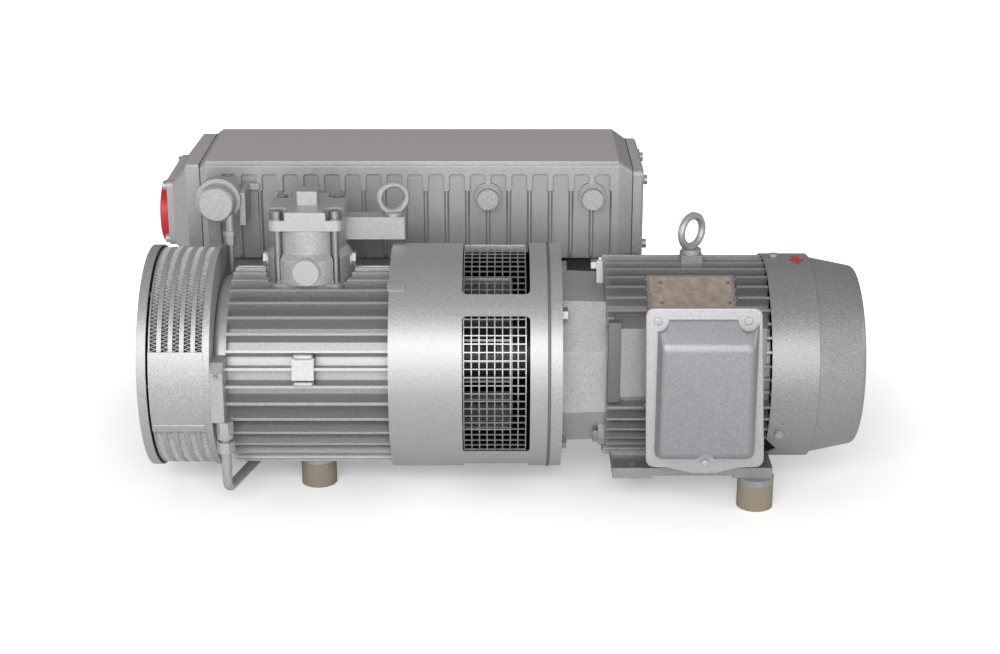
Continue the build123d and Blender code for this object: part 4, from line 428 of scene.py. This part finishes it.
def plate(name, points, depth):
    """Fills a closed outline and extrudes it by a vector."""
    piece = outline(name, points)
    bpy.ops.object.mode_set(mode="EDIT")
    bpy.ops.mesh.select_all(action="SELECT")
    bpy.ops.mesh.edge_face_add()
    bpy.ops.mesh.extrude_region_move(TRANSFORM_OT_translate={"value": depth})
    bpy.ops.mesh.select_all(action="SELECT")
    bpy.ops.mesh.normals_make_consistent(inside=False)
    bpy.ops.object.mode_set(mode="OBJECT")
    return piece


print("shaft line at", SHAFT_Y, SHAFT_Z)

# %% Modifiers and finished pieces
def modify(piece, kind, **settings):
    """Adds one modifier, sets it and applies it."""
    bpy.context.view_layer.objects.active = piece
    modifier = piece.modifiers.new(kind.lower(), kind)
    for key, value in settings.items():
        setattr(modifier, key, value)
    bpy.ops.object.modifier_apply(modifier=modifier.name)


def finish_piece(piece, body, slot, finish, smooth=35):
    """Gives a piece its finish, soft shading over shallow bends and the body that it moves with."""
    bpy.ops.object.select_all(action="DESELECT")
    piece.select_set(True)
    bpy.context.view_layer.objects.active = piece
    piece.data.materials.clear()
    piece.data.materials.append(finish)
    bpy.ops.object.shade_smooth_by_angle(angle=math.radians(smooth))
    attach(piece, body)
    size = [round(d * 1000, 1) for d in piece.dimensions]
    print(piece.name, len(piece.data.polygons), "faces", size, "mm")
    return piece


print("recipe:", finish_piece.__doc__)

# %% [markdown]
# ## The ring cooler
# Oil flows through flat channels that lie round the fan, and folded aluminium strips fill the rows
# between. Such a strip is folded by a pair of gears, then bent round between its channels.
# It is modelled that way: a ring of corners, every second one moved across the row, then pulled
# inward.

# %% Channel ring with five open rows
CORE_START, CORE_END = -447.5, -376.5
CORE_INNER, CORE_OUTER, FIN_ROOT = 118, 145.9, 126
ROW_STARTS = [-445.5 + row * 14.6 for row in range(5)]
ROW_WIDTH = 8.6


def channel_outline():
    """The comb-shaped section of the ring, as places along the shaft and distances from it."""
    comb = [(CORE_START, CORE_INNER), (CORE_START, CORE_OUTER)]
    for start in ROW_STARTS:
        end = start + ROW_WIDTH
        comb += [(start, CORE_OUTER), (start, FIN_ROOT), (end, FIN_ROOT), (end, CORE_OUTER)]
    comb += [(CORE_END, CORE_OUTER), (CORE_END, CORE_INNER)]
    return [(x / 1000, SHAFT_Y, SHAFT_Z + r / 1000) for x, r in comb]


cooler_ring = turned("cooler_ring", channel_outline(), steps=120)
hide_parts("cooler_core")
finish_piece(cooler_ring, "housing", "silver_paint", silver_sheet)

# %% Folded fins
# The real strips are folded closer. They are drawn coarser, with 176 folds each, because finer ones
# would blur into one tone at this distance.
FOLDS = 176
FIN_TIP, FIN_BASE = 0.1455, 0.1265
SHEET_MM = 0.8


def folded_strip(name, start, first):
    """One strip folded across a row, standing on its floor. First is 0 or 1, its first fold."""
    bpy.ops.object.select_all(action="DESELECT")
    bpy.ops.mesh.primitive_circle_add(
        vertices=2 * FOLDS, radius=FIN_TIP,
        location=(start / 1000 + SHEET_MM / 2000, SHAFT_Y, SHAFT_Z),
        rotation=(0, math.radians(90), 0),
    )
    strip = bpy.context.active_object
    strip.name = name
    bpy.ops.object.transform_apply(location=True, rotation=True, scale=True)
    bpy.context.tool_settings.mesh_select_mode = (True, False, False)
    for edge in strip.data.edges:
        edge.select = False
    for vertex in strip.data.vertices:
        vertex.select = vertex.index % 2 == first
    bpy.ops.object.mode_set(mode="EDIT")
    bpy.ops.transform.translate(value=((ROW_WIDTH - SHEET_MM) / 1000, 0, 0))
    bpy.ops.mesh.select_all(action="SELECT")
    bpy.ops.mesh.extrude_region_move()
    shrink = FIN_BASE / FIN_TIP
    bpy.ops.transform.resize(
        value=(1, shrink, shrink), center_override=(0, SHAFT_Y, SHAFT_Z)
    )
    bpy.ops.mesh.select_all(action="SELECT")
    bpy.ops.mesh.normals_make_consistent(inside=False)
    bpy.ops.object.mode_set(mode="OBJECT")
    modify(strip, "SOLIDIFY", thickness=SHEET_MM / 1000, offset=0)
    finish_piece(strip, "housing", "bare_aluminium", fin_metal, smooth=10)


for row, start in enumerate(ROW_STARTS):
    folded_strip(f"folded_fins_{row + 1}", start, row % 2)

# %% [markdown]
# ## Small rounded pieces
# Tabs, rivets and pads are boxes and discs with every edge rounded, as pressing and casting leave
# them.
# Each is set square first and then turned to lie on its drum.

# %% Rounded blocks
def settle(piece, name, centre, tilt):
    """Names a new piece and moves it to its place, so that its own origin stays at zero."""
    piece.name = name
    piece.rotation_euler = tilt
    piece.location = centre
    bpy.ops.object.transform_apply(location=True, rotation=True, scale=True)
    return piece


def block(name, centre, size, edge, tilt=(0, 0, 0), steps=3):
    """A box with rounded edges. Sizes are in millimetres and tilt in radians."""
    bpy.ops.object.select_all(action="DESELECT")
    bpy.ops.mesh.primitive_cube_add(size=1, scale=mm(*size))
    piece = bpy.context.active_object
    bpy.ops.object.transform_apply(location=True, rotation=True, scale=True)
    settle(piece, name, mm(*centre), tilt)
    modify(piece, "BEVEL", width=edge / 1000, segments=steps, limit_method="ANGLE")
    return piece


print("recipe:", block.__doc__)

# %% Picked faces and screw heads
def pick_faces(piece, test):
    """Enters edit mode with only those faces selected whose centre and normal pass the test."""
    bpy.ops.object.mode_set(mode="OBJECT")
    bpy.context.view_layer.objects.active = piece
    bpy.context.tool_settings.mesh_select_mode = (False, False, True)
    for vertex in piece.data.vertices:
        vertex.select = False
    for edge in piece.data.edges:
        edge.select = False
    for face in piece.data.polygons:
        face.select = test(face.center, face.normal)
    bpy.ops.object.mode_set(mode="EDIT")


def screw_head(name, centre, radius, height, tilt, socket=0.55, sides=28):
    """A round head with a socket sunk into its top."""
    bpy.ops.object.select_all(action="DESELECT")
    bpy.ops.mesh.primitive_cylinder_add(vertices=sides, radius=radius / 1000, depth=height / 1000)
    head = bpy.context.active_object
    pick_faces(head, lambda middle, normal: normal.z > 0.9)
    bpy.ops.mesh.inset(thickness=radius * (1 - socket) / 1000)
    sink = -height / 1600
    bpy.ops.mesh.extrude_region_move(TRANSFORM_OT_translate={"value": (0, 0, sink)})
    bpy.ops.object.mode_set(mode="OBJECT")
    settle(head, name, mm(*centre), tilt)
    modify(head, "BEVEL", width=radius / 9000, segments=2, limit_method="ANGLE")
    return head


def on_drum(x, radius, angle):
    """A place round the shaft in millimetres. Zero degrees faces the viewer and 90 is the top."""
    turn = math.radians(angle)
    return (
        x,
        1000 * SHAFT_Y - radius * math.cos(turn),
        1000 * SHAFT_Z + radius * math.sin(turn),
    )


def lean(angle):
    """The tilt that lays a piece on the drum at that angle."""
    return (math.radians(90 - angle), 0, 0)


print("a place on top of the guard:", on_drum(0, 151, 90))

# %% Tab over the guard's seam and its blind rivets
TAB_ANGLE = 55.5
seam_tab = block(
    "guard_seam_tab", on_drum(-130, 151.4, TAB_ANGLE), size=(24, 16, 1.6), edge=0.6,
    tilt=lean(TAB_ANGLE),
)
finish_piece(seam_tab, "housing", "silver_paint", silver_sheet)
RIVET_RADIUS, RIVET_HEIGHT = 3.2, 1.4
for number, (x, angle) in enumerate([(-123, 57.5), (-0.5, 44.5), (-0.5, -44.5)]):
    rivet = screw_head(
        f"guard_rivet_{number + 1}", on_drum(x, 151.5, angle), RIVET_RADIUS, RIVET_HEIGHT,
        lean(angle), socket=0.3, sides=18,
    )
    finish_piece(rivet, "housing", "silver_paint", silver_sheet)

# %% Lip under the cooler's header
LIP_ANGLE = -19.6
header_lip = block(
    "header_lip", on_drum(-412, 146.8, LIP_ANGLE), size=(71, 10, 6), edge=2.9,
    tilt=lean(LIP_ANGLE), steps=5,
)
finish_piece(header_lip, "housing", "silver_paint", silver_cast)

# %% Screw in the oil manifold
manifold_screw = screw_head(
    "manifold_screw", (-360, -229.8, 200), radius=3.4, height=2.4, tilt=lean(0),
    socket=0.62, sides=20,
)
finish_piece(manifold_screw, "housing", "zinc_steel", zinc)

# %% [markdown]
# ## The motor's plate and its direction arrow
# Four drive pins hold the bare plate. A plain arrow on the fan cover shows which way the shaft
# turns.

# %% Drive pins and arrow
PLATE_ANGLE = 58
PIN_START, PIN_SPACING, PIN_REACH = 215.5, 88, 17
PIN_RADIUS, PIN_HEIGHT = 2.2, 1.4
turn = math.radians(PLATE_ANGLE)
for column in (0, 1):
    for row in (0, 1):
        x = PIN_START + PIN_SPACING * column
        across = PIN_REACH * (row - 0.5) * 2
        _, y, z = on_drum(x, 130.6, PLATE_ANGLE)
        pin = screw_head(
            f"plate_pin_{column * 2 + row + 1}",
            (x, y + across * math.sin(turn), z + across * math.cos(turn)),
            PIN_RADIUS, PIN_HEIGHT, lean(PLATE_ANGLE), socket=0.4, sides=16,
        )
        finish_piece(pin, "housing", "zinc_steel", zinc)

ARROW_X, ARROW_RADIUS = 399, 137.3
stem = block(
    "arrow_stem", on_drum(ARROW_X, ARROW_RADIUS, 90), size=(9, 16, 0.5), edge=0.1, tilt=lean(90)
)
finish_piece(stem, "housing", "red_plastic", red_cap)
head_corners = [(-10, 86.8), (10, 86.8), (0, 80.5)]
head_face = [
    mm(*on_drum(ARROW_X + along, ARROW_RADIUS, angle)) for along, angle in head_corners
]
turn = math.radians(82)
arrow = plate("arrow_head", head_face, (0, -0.0005 * math.cos(turn), 0.0005 * math.sin(turn)))
finish_piece(arrow, "housing", "red_plastic", red_cap, smooth=10)

# %% [markdown]
# ## Under and on the box
# The spin-on oil filter gets a cast head under the box, which is a guess. It wears the darker tone
# of the paint, a painted shade.
# Sockets finish the screws of the inlet's cap.

# %% Filter head and sockets
filter_head = block("filter_head", (100, 155, 247), size=(96, 60, 41), edge=5, steps=4)
# Painted shade: the head wears the darker tone of the paint for the shade under the box.
finish_piece(filter_head, "housing", "silver_paint", pad_shade)
INLET_SCREWS = [(-288.5, -107), (-212.5, -107), (-288.5, -31), (-212.5, -31)]
for number, (x, y) in enumerate(INLET_SCREWS):
    head = screw_head(
        f"inlet_socket_{number + 1}", (x, y, 384.4), radius=7.3, height=3.4, tilt=(0, 0, 0),
        socket=0.6,
    )
    finish_piece(head, "housing", "zinc_steel", zinc)

# %% [markdown]
# ## The guard's rolled edge and the sheet of painted shade behind its mesh
# A thin ring at the sheet's rolled edge beside the flange wears the darker tone, a painted shade
# line along the seam.
# The dark sheet behind and below the drum fan is a guess, a painted shade that darkens the inside
# of the guard. It lets the windows show depth and no daylight.

# %% Rolled edge and shade sheet
def ring_place(x, radius, angle):
    """The same place as on_drum, in metres."""
    return mm(*on_drum(x, radius, angle))


edge_section = [(66.2, 150.5), (66.2, 152.0), (70.2, 152.0), (70.2, 150.5)]
rolled_edge = turned(
    "guard_rolled_edge", [ring_place(x, r, 90) for x, r in edge_section], steps=96
)
modify(rolled_edge, "BEVEL", width=0.0006, segments=2, limit_method="ANGLE")
# Painted shade: the rolled edge wears the darker tone of the paint.
finish_piece(rolled_edge, "housing", "silver_paint", pad_shade)

SHADE_SHEET_START, SHADE_SHEET_RADIUS, SHADE_SHEET_LENGTH = -94, 145, 0.16
shade_sheet_points = [ring_place(SHADE_SHEET_START, SHADE_SHEET_RADIUS, 125 + 10 * step) for step in range(19)]
shade_sheet = outline("dark_shade_sheet", shade_sheet_points, closed=False)
bpy.ops.object.mode_set(mode="EDIT")
bpy.ops.mesh.select_all(action="SELECT")
bpy.ops.mesh.extrude_region_move(TRANSFORM_OT_translate={"value": (SHADE_SHEET_LENGTH, 0, 0)})
bpy.ops.mesh.select_all(action="SELECT")
bpy.ops.mesh.normals_make_consistent(inside=False)
bpy.ops.object.mode_set(mode="OBJECT")
modify(shade_sheet, "SOLIDIFY", thickness=0.001, offset=0)
# Painted shade: the sheet wears the dark iron tone to darken the inside of the guard.
finish_piece(shade_sheet, "housing", "silver_paint", cast_iron, smooth=40)

# %% [markdown]
# ## Webs and terminal box
# The square boss on the cylinder is tied to its two ribs by short webs.
# The terminal box is drawn in from its lid on all sides.

# %% Boss webs
for number, angle in enumerate((2.2, 18.3)):
    place = on_drum(-250.5, 126.3, angle)
    web = block(
        f"boss_web_{number + 1}", place, size=(27, 9, 12), edge=3.5, tilt=lean(angle), steps=4
    )
    finish_piece(web, "housing", "silver_paint", silver_cast)

# %% Terminal box
terminal_body = block(
    "terminal_body", (266.1, -222.6, 187), size=(124, 33.2, 186), edge=9, steps=4
)
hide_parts("terminal_box")
finish_piece(terminal_body, "housing", "silver_paint", silver_plate)

# %% [markdown]
# ## The terminal box's lid
# A pressed lid has a flat flange and a dome that was drawn out of it, with a long slope at its top.
# The dome gives way round each screw. Here it starts as a flat face, is drawn out and narrowed in
# edit mode, and is then bevelled and cut.

# %% Rounded outlines
def rounded(corners, y, steps=6):
    """Turns corners of (x, z, radius) in millimetres into points with short curves."""
    points = []
    for index, (x, z, radius) in enumerate(corners):
        here = Vector((x, z))
        before = Vector(corners[index - 1][:2]) - here
        after = Vector(corners[(index + 1) % len(corners)][:2]) - here
        reach = radius / math.tan(before.angle(after) / 2)
        start, end = here + before.normalized() * reach, here + after.normalized() * reach
        for step in range(steps + 1):
            t = step / steps
            place = start * (1 - t) ** 2 + here * 2 * t * (1 - t) + end * t**2
            points.append(mm(place.x, y, place.y))
    return points


def disc(name, x, y, z, radius, height, sides):
    """A round plate that faces the viewer."""
    turns = [2 * math.pi * side / sides for side in range(sides)]
    rim = [mm(x + radius * math.cos(t), y, z + radius * math.sin(t)) for t in turns]
    return plate(name, rim, (0, -height / 1000, 0))


print("recipe:", rounded.__doc__)

# %% Flange of the lid
FLANGE = [
    (188, 297.4, 12), (334.9, 297.4, 12), (346.2, 80.5, 13), (312, 79.2, 10),
    (284, 71.6, 10), (252, 71.6, 10), (222, 79.2, 10), (193.2, 80.5, 13),
]
lid_flange = plate("lid_flange", rounded(FLANGE, -239), (0, -0.006, 0))
modify(lid_flange, "BEVEL", width=0.0016, segments=4, limit_method="ANGLE")
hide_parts("terminal_lid")
finish_piece(lid_flange, "housing", "silver_paint", silver_plate)
print("flange faces:", len(lid_flange.data.polygons))

# %% Dome of the lid
# Place of each screw, radius of the notch round it and how far the notch sits above the screw.
LID_SCREWS = [(203.9, 280.5, 13.5, 0), (318.2, 281, 13.5, 0), (269.6, 86.5, 12, 11)]
DOME = [(202.8, 286, 10), (333.2, 286, 10), (334, 91, 12), (202.4, 91, 12)]
lid_dome = plate("lid_dome", rounded(DOME, -243.5), (0, -0.0252, 0))
pick_faces(lid_dome, lambda middle, normal: middle.y < -0.268)
bpy.ops.transform.resize(value=(0.89, 1, 0.76), center_override=mm(268, -268.7, 188.5))
bpy.ops.transform.translate(value=mm(-1.5, 0, -10.5))
bpy.ops.object.mode_set(mode="OBJECT")
modify(
    lid_dome, "BEVEL", width=0.0075, segments=7,
    limit_method="ANGLE", angle_limit=math.radians(28),
)
for x, z, radius, rise in LID_SCREWS:
    notch = disc("notch", x, -244.6, z + rise, radius, height=40, sides=32)
    bpy.ops.object.select_all(action="DESELECT")
    lid_dome.select_set(True)
    modify(lid_dome, "BOOLEAN", object=notch, operation="DIFFERENCE", solver="EXACT")
    bpy.data.objects.remove(notch)
# Painted shade: the dome wears a darker tone of the paint than its flange.
finish_piece(lid_dome, "housing", "silver_paint", dome_shade_paint, smooth=40)
print("dome faces:", len(lid_dome.data.polygons))

# %% Copies of CAD nodes
def copy_of(node, name):
    """An editable copy of a CAD node with its corners merged."""
    bpy.ops.object.select_all(action="DESELECT")
    piece = nodes[node].copy()
    piece.data = nodes[node].data.copy()
    piece.name = name
    bpy.context.collection.objects.link(piece)
    piece.select_set(True)
    bpy.context.view_layer.objects.active = piece
    bpy.ops.object.mode_set(mode="EDIT")
    bpy.ops.mesh.select_all(action="SELECT")
    bpy.ops.mesh.remove_doubles(threshold=1e-6)
    bpy.ops.mesh.normals_make_consistent(inside=False)
    bpy.ops.mesh.customdata_custom_splitnormals_clear()
    bpy.ops.object.mode_set(mode="OBJECT")
    return piece


print("recipe:", copy_of.__doc__)

# %% Screws of the lid
cover_screws = copy_of("cover_screws", "cover_screws_box")
pick_faces(cover_screws, lambda middle, normal: middle.y < -0.23)
bpy.ops.mesh.delete(type="FACE")
bpy.ops.object.mode_set(mode="OBJECT")
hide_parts("cover_screws")
finish_piece(cover_screws, "housing", "zinc_steel", silver_cast)
for number, (x, z, *_) in enumerate(LID_SCREWS):
    lid_screw = disc(f"lid_screw_{number + 1}", x, -244.4, z, radius=5.4, height=3, sides=32)
    modify(lid_screw, "BEVEL", width=0.0008, segments=3, limit_method="ANGLE")
    finish_piece(lid_screw, "housing", "silver_paint", silver_plate)

# %% Pad without rib ends
frame_cast = copy_of("motor_frame", "motor_frame_cast")
cutter = block("rib_cutter", (151.0, -216, 209.5), size=(18, 48, 111), edge=0.5)
bpy.ops.object.select_all(action="DESELECT")
frame_cast.select_set(True)
modify(frame_cast, "BOOLEAN", object=cutter, operation="DIFFERENCE", solver="EXACT")
bpy.data.objects.remove(cutter)
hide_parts("motor_frame")
finish_piece(frame_cast, "housing", "silver_paint", silver_motor_shaded, smooth=30)
# Painted shade: the slope of the pad wears the darker tone of the paint.
pad_edge = block("pad_edge", (152.5, -199, 209.5), size=(16.8, 14, 109.8), edge=0.6)
pick_faces(pad_edge, lambda middle, normal: normal.x < -0.9)
bpy.ops.transform.resize(value=(1, 0.2, 0.9), center_override=(0.143, -0.192, 0.2095))
bpy.ops.object.mode_set(mode="OBJECT")
finish_piece(pad_edge, "housing", "silver_paint", pad_shade)

# %% [markdown]
# ## Oil pipe and the box's front edge
# The oil runs back to the sump through a bent pipe. It is drawn as a chain of points with soft
# corners and then given a round section. Its far end stops short of the nut under the sump, which
# the solid pipe reaches. The box is a casting whose front edge is nearly square.

# %% Pipe with soft bends
def soft_path(corners, reach, steps=8):
    """Replaces each inner corner by a curve that starts and ends reach millimetres from it."""
    path = [mm(*corners[0])]
    for before, here, after in zip(corners, corners[1:], corners[2:]):
        here = Vector(here)
        start = here + (Vector(before) - here).normalized() * reach
        end = here + (Vector(after) - here).normalized() * reach
        for step in range(steps + 1):
            t = step / steps
            path.append(mm(*(start * (1 - t) ** 2 + here * 2 * t * (1 - t) + end * t**2)))
    return [*path, mm(*corners[-1])]


pipe_low, pipe_high = [[1000 * value for value in corner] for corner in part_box("oil_pipe")]
CAD_PIPE_RADIUS = 7.3
VISIBLE_PIPE_RADIUS = 0.0066
pipe_x, pipe_y = pipe_low[0] + CAD_PIPE_RADIUS, pipe_low[1] + CAD_PIPE_RADIUS
end_x, end_y = pipe_high[0] - CAD_PIPE_RADIUS, pipe_high[1] - CAD_PIPE_RADIUS
route = [
    (pipe_x, pipe_y, pipe_high[2]), (pipe_x, pipe_y, 39), (pipe_x + 34, -69, 33),
    (end_x, end_y, 17.5), (end_x, end_y, 34),
]
pipe = outline("oil_pipe_bent", soft_path(route, reach=16), closed=False)
bpy.ops.object.convert(target="CURVE")
pipe = bpy.context.active_object
pipe.data.bevel_depth = VISIBLE_PIPE_RADIUS
pipe.data.use_fill_caps = True
pipe.data.bevel_resolution = 6
bpy.ops.object.convert(target="MESH")
pipe = bpy.context.active_object
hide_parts("oil_pipe")
finish_piece(pipe, "housing", "silver_paint", silver_sheet, smooth=60)
print("pipe faces:", len(pipe.data.polygons))

# %% Square front edge of the box
RIM_DEPTH, RIM_HEIGHT, RIM_EDGE = 12.2, 12.4, 0.8
box_rim = block(
    "box_rim", (-117.7, 67.2, 403.2), size=(575.6, RIM_DEPTH, RIM_HEIGHT), edge=RIM_EDGE
)
finish_piece(box_rim, "housing", "silver_paint", silver_box)
COVER_RIMS = [(-424.6, 19, 397.2), (197.9, 14, 386)]
for number, (middle, length, height) in enumerate(COVER_RIMS):
    place, size = (middle, 71.2, height), (length, RIM_DEPTH, RIM_HEIGHT)
    cover_rim = block(f"cover_rim_{number + 1}", place, size, RIM_EDGE)
    finish_piece(cover_rim, "housing", "silver_paint", silver_box)

# %% [markdown]
# ## The studio
# The pump stands on a pale floor that keeps its shadow, in front of a white backdrop.
# One wide lamp hangs over the viewer, one stands behind, and two weaker ones open up the sides.

# %% Floor and white backdrop
def pale_floor():
    """A wide floor that catches the shadow and fades to the white of the backdrop."""
    bpy.ops.mesh.primitive_plane_add(size=12, location=(0, 0, 0))
    floor = bpy.context.active_object
    floor.name = "floor"
    material, tree, shader, place = start_material("pale_studio_floor")
    clouds = grain(tree, place, 0.5, detail=1)
    tree.links.new(
        ramp(tree, clouds, [(0.3, "#F4F4F4"), (0.7, "#F8F8F8")]), shader.inputs["Base Color"]
    )
    shader.inputs["Roughness"].default_value = 1.0
    shader.inputs["Specular IOR Level"].default_value = 0.0
    shader.inputs["Emission Color"].default_value = (1, 1, 1, 1)
    distance = add_node(
        tree, "ShaderNodeVectorMath", {0: place}, {"operation": "LENGTH"}
    ).outputs["Value"]
    fade = add_node(
        tree, "ShaderNodeMapRange", {"Value": distance}, {"interpolation_type": "SMOOTHSTEP"},
        From_Min=0.45, From_Max=1.1, To_Min=0.3, To_Max=1.0,
    )
    seen = add_node(tree, "ShaderNodeLightPath").outputs["Is Camera Ray"]
    glow = add_node(
        tree, "ShaderNodeMath", {0: fade.outputs["Result"], 1: seen}, {"operation": "MULTIPLY"}
    )
    tree.links.new(glow.outputs[0], shader.inputs["Emission Strength"])
    floor.data.materials.append(material)
    return floor


floor = pale_floor()
world = bpy.data.worlds.new("white_backdrop")
bpy.context.scene.world = world
world.use_nodes = True
sky = world.node_tree
sky.nodes.clear()
rays = add_node(sky, "ShaderNodeLightPath")
seen = add_node(
    sky, "ShaderNodeMath",
    {0: rays.outputs["Is Camera Ray"], 1: rays.outputs["Is Transmission Ray"]},
    {"operation": "MAXIMUM"},
)
lit = add_node(sky, "ShaderNodeBackground", Color=linear("#ECEAE8"), Strength=0.42)
white = add_node(sky, "ShaderNodeBackground", Color=(1, 1, 1, 1), Strength=1.0)
blended = add_node(
    sky, "ShaderNodeMixShader",
    {0: seen.outputs[0], 1: lit.outputs[0], 2: white.outputs[0]},
)
add_node(sky, "ShaderNodeOutputWorld", {"Surface": blended.outputs[0]})
print("floor at", floor.location[:])

# %% Soft lamps
def soft_lamp(name, place, aim, width, height, power):
    """A rectangular lamp at a place, turned to shine on a point."""
    light = bpy.data.lights.new(name, "AREA")
    light.shape = "RECTANGLE"
    light.size = width
    light.size_y = height
    light.energy = power
    lamp = bpy.data.objects.new(name, light)
    bpy.context.collection.objects.link(lamp)
    lamp.location = place
    direction = Vector([a - p for a, p in zip(aim, place)])
    lamp.rotation_euler = direction.to_track_quat("-Z", "Y").to_euler()
    return lamp


centre = (0, 0, 0.2)
key = soft_lamp(
    "key_over_viewer", (-0.3, -2.75, 1.75), centre, width=2.2, height=0.9, power=50
)
front = soft_lamp(
    "fill_behind_viewer", (0.2, -3.4, 0.7), centre, width=3.2, height=1.4, power=34
)
left = soft_lamp("left_side", (-2.6, -1.0, 1.1), centre, width=1.2, height=1.2, power=16)
right = soft_lamp("right_side", (2.6, -1.0, 1.2), centre, width=1.2, height=1.2, power=14)
print("lamps:", [round(lamp.data.energy) for lamp in (key, front, left, right)])

# %% [markdown]
# ## The camera
# A lens of 68 mm from two and a half metres away looks down by 19 degrees, as in the reference
# picture.

# %% Camera and colour
LENS_MM, SENSOR_MM = 68.4, 36
CAMERA_PLACE, CAMERA_PITCH = (0.0045, -2.5041, 1.0684), 70.6
lens = bpy.data.cameras.new("viewer")
lens.lens = LENS_MM
lens.sensor_width = SENSOR_MM
viewer = bpy.data.objects.new("viewer", lens)
bpy.context.collection.objects.link(viewer)
viewer.location = CAMERA_PLACE
viewer.rotation_euler = (math.radians(CAMERA_PITCH), 0, 0)
bpy.context.scene.camera = viewer
bpy.context.scene.view_settings.view_transform = "Standard"
print("camera at", viewer.location[:])
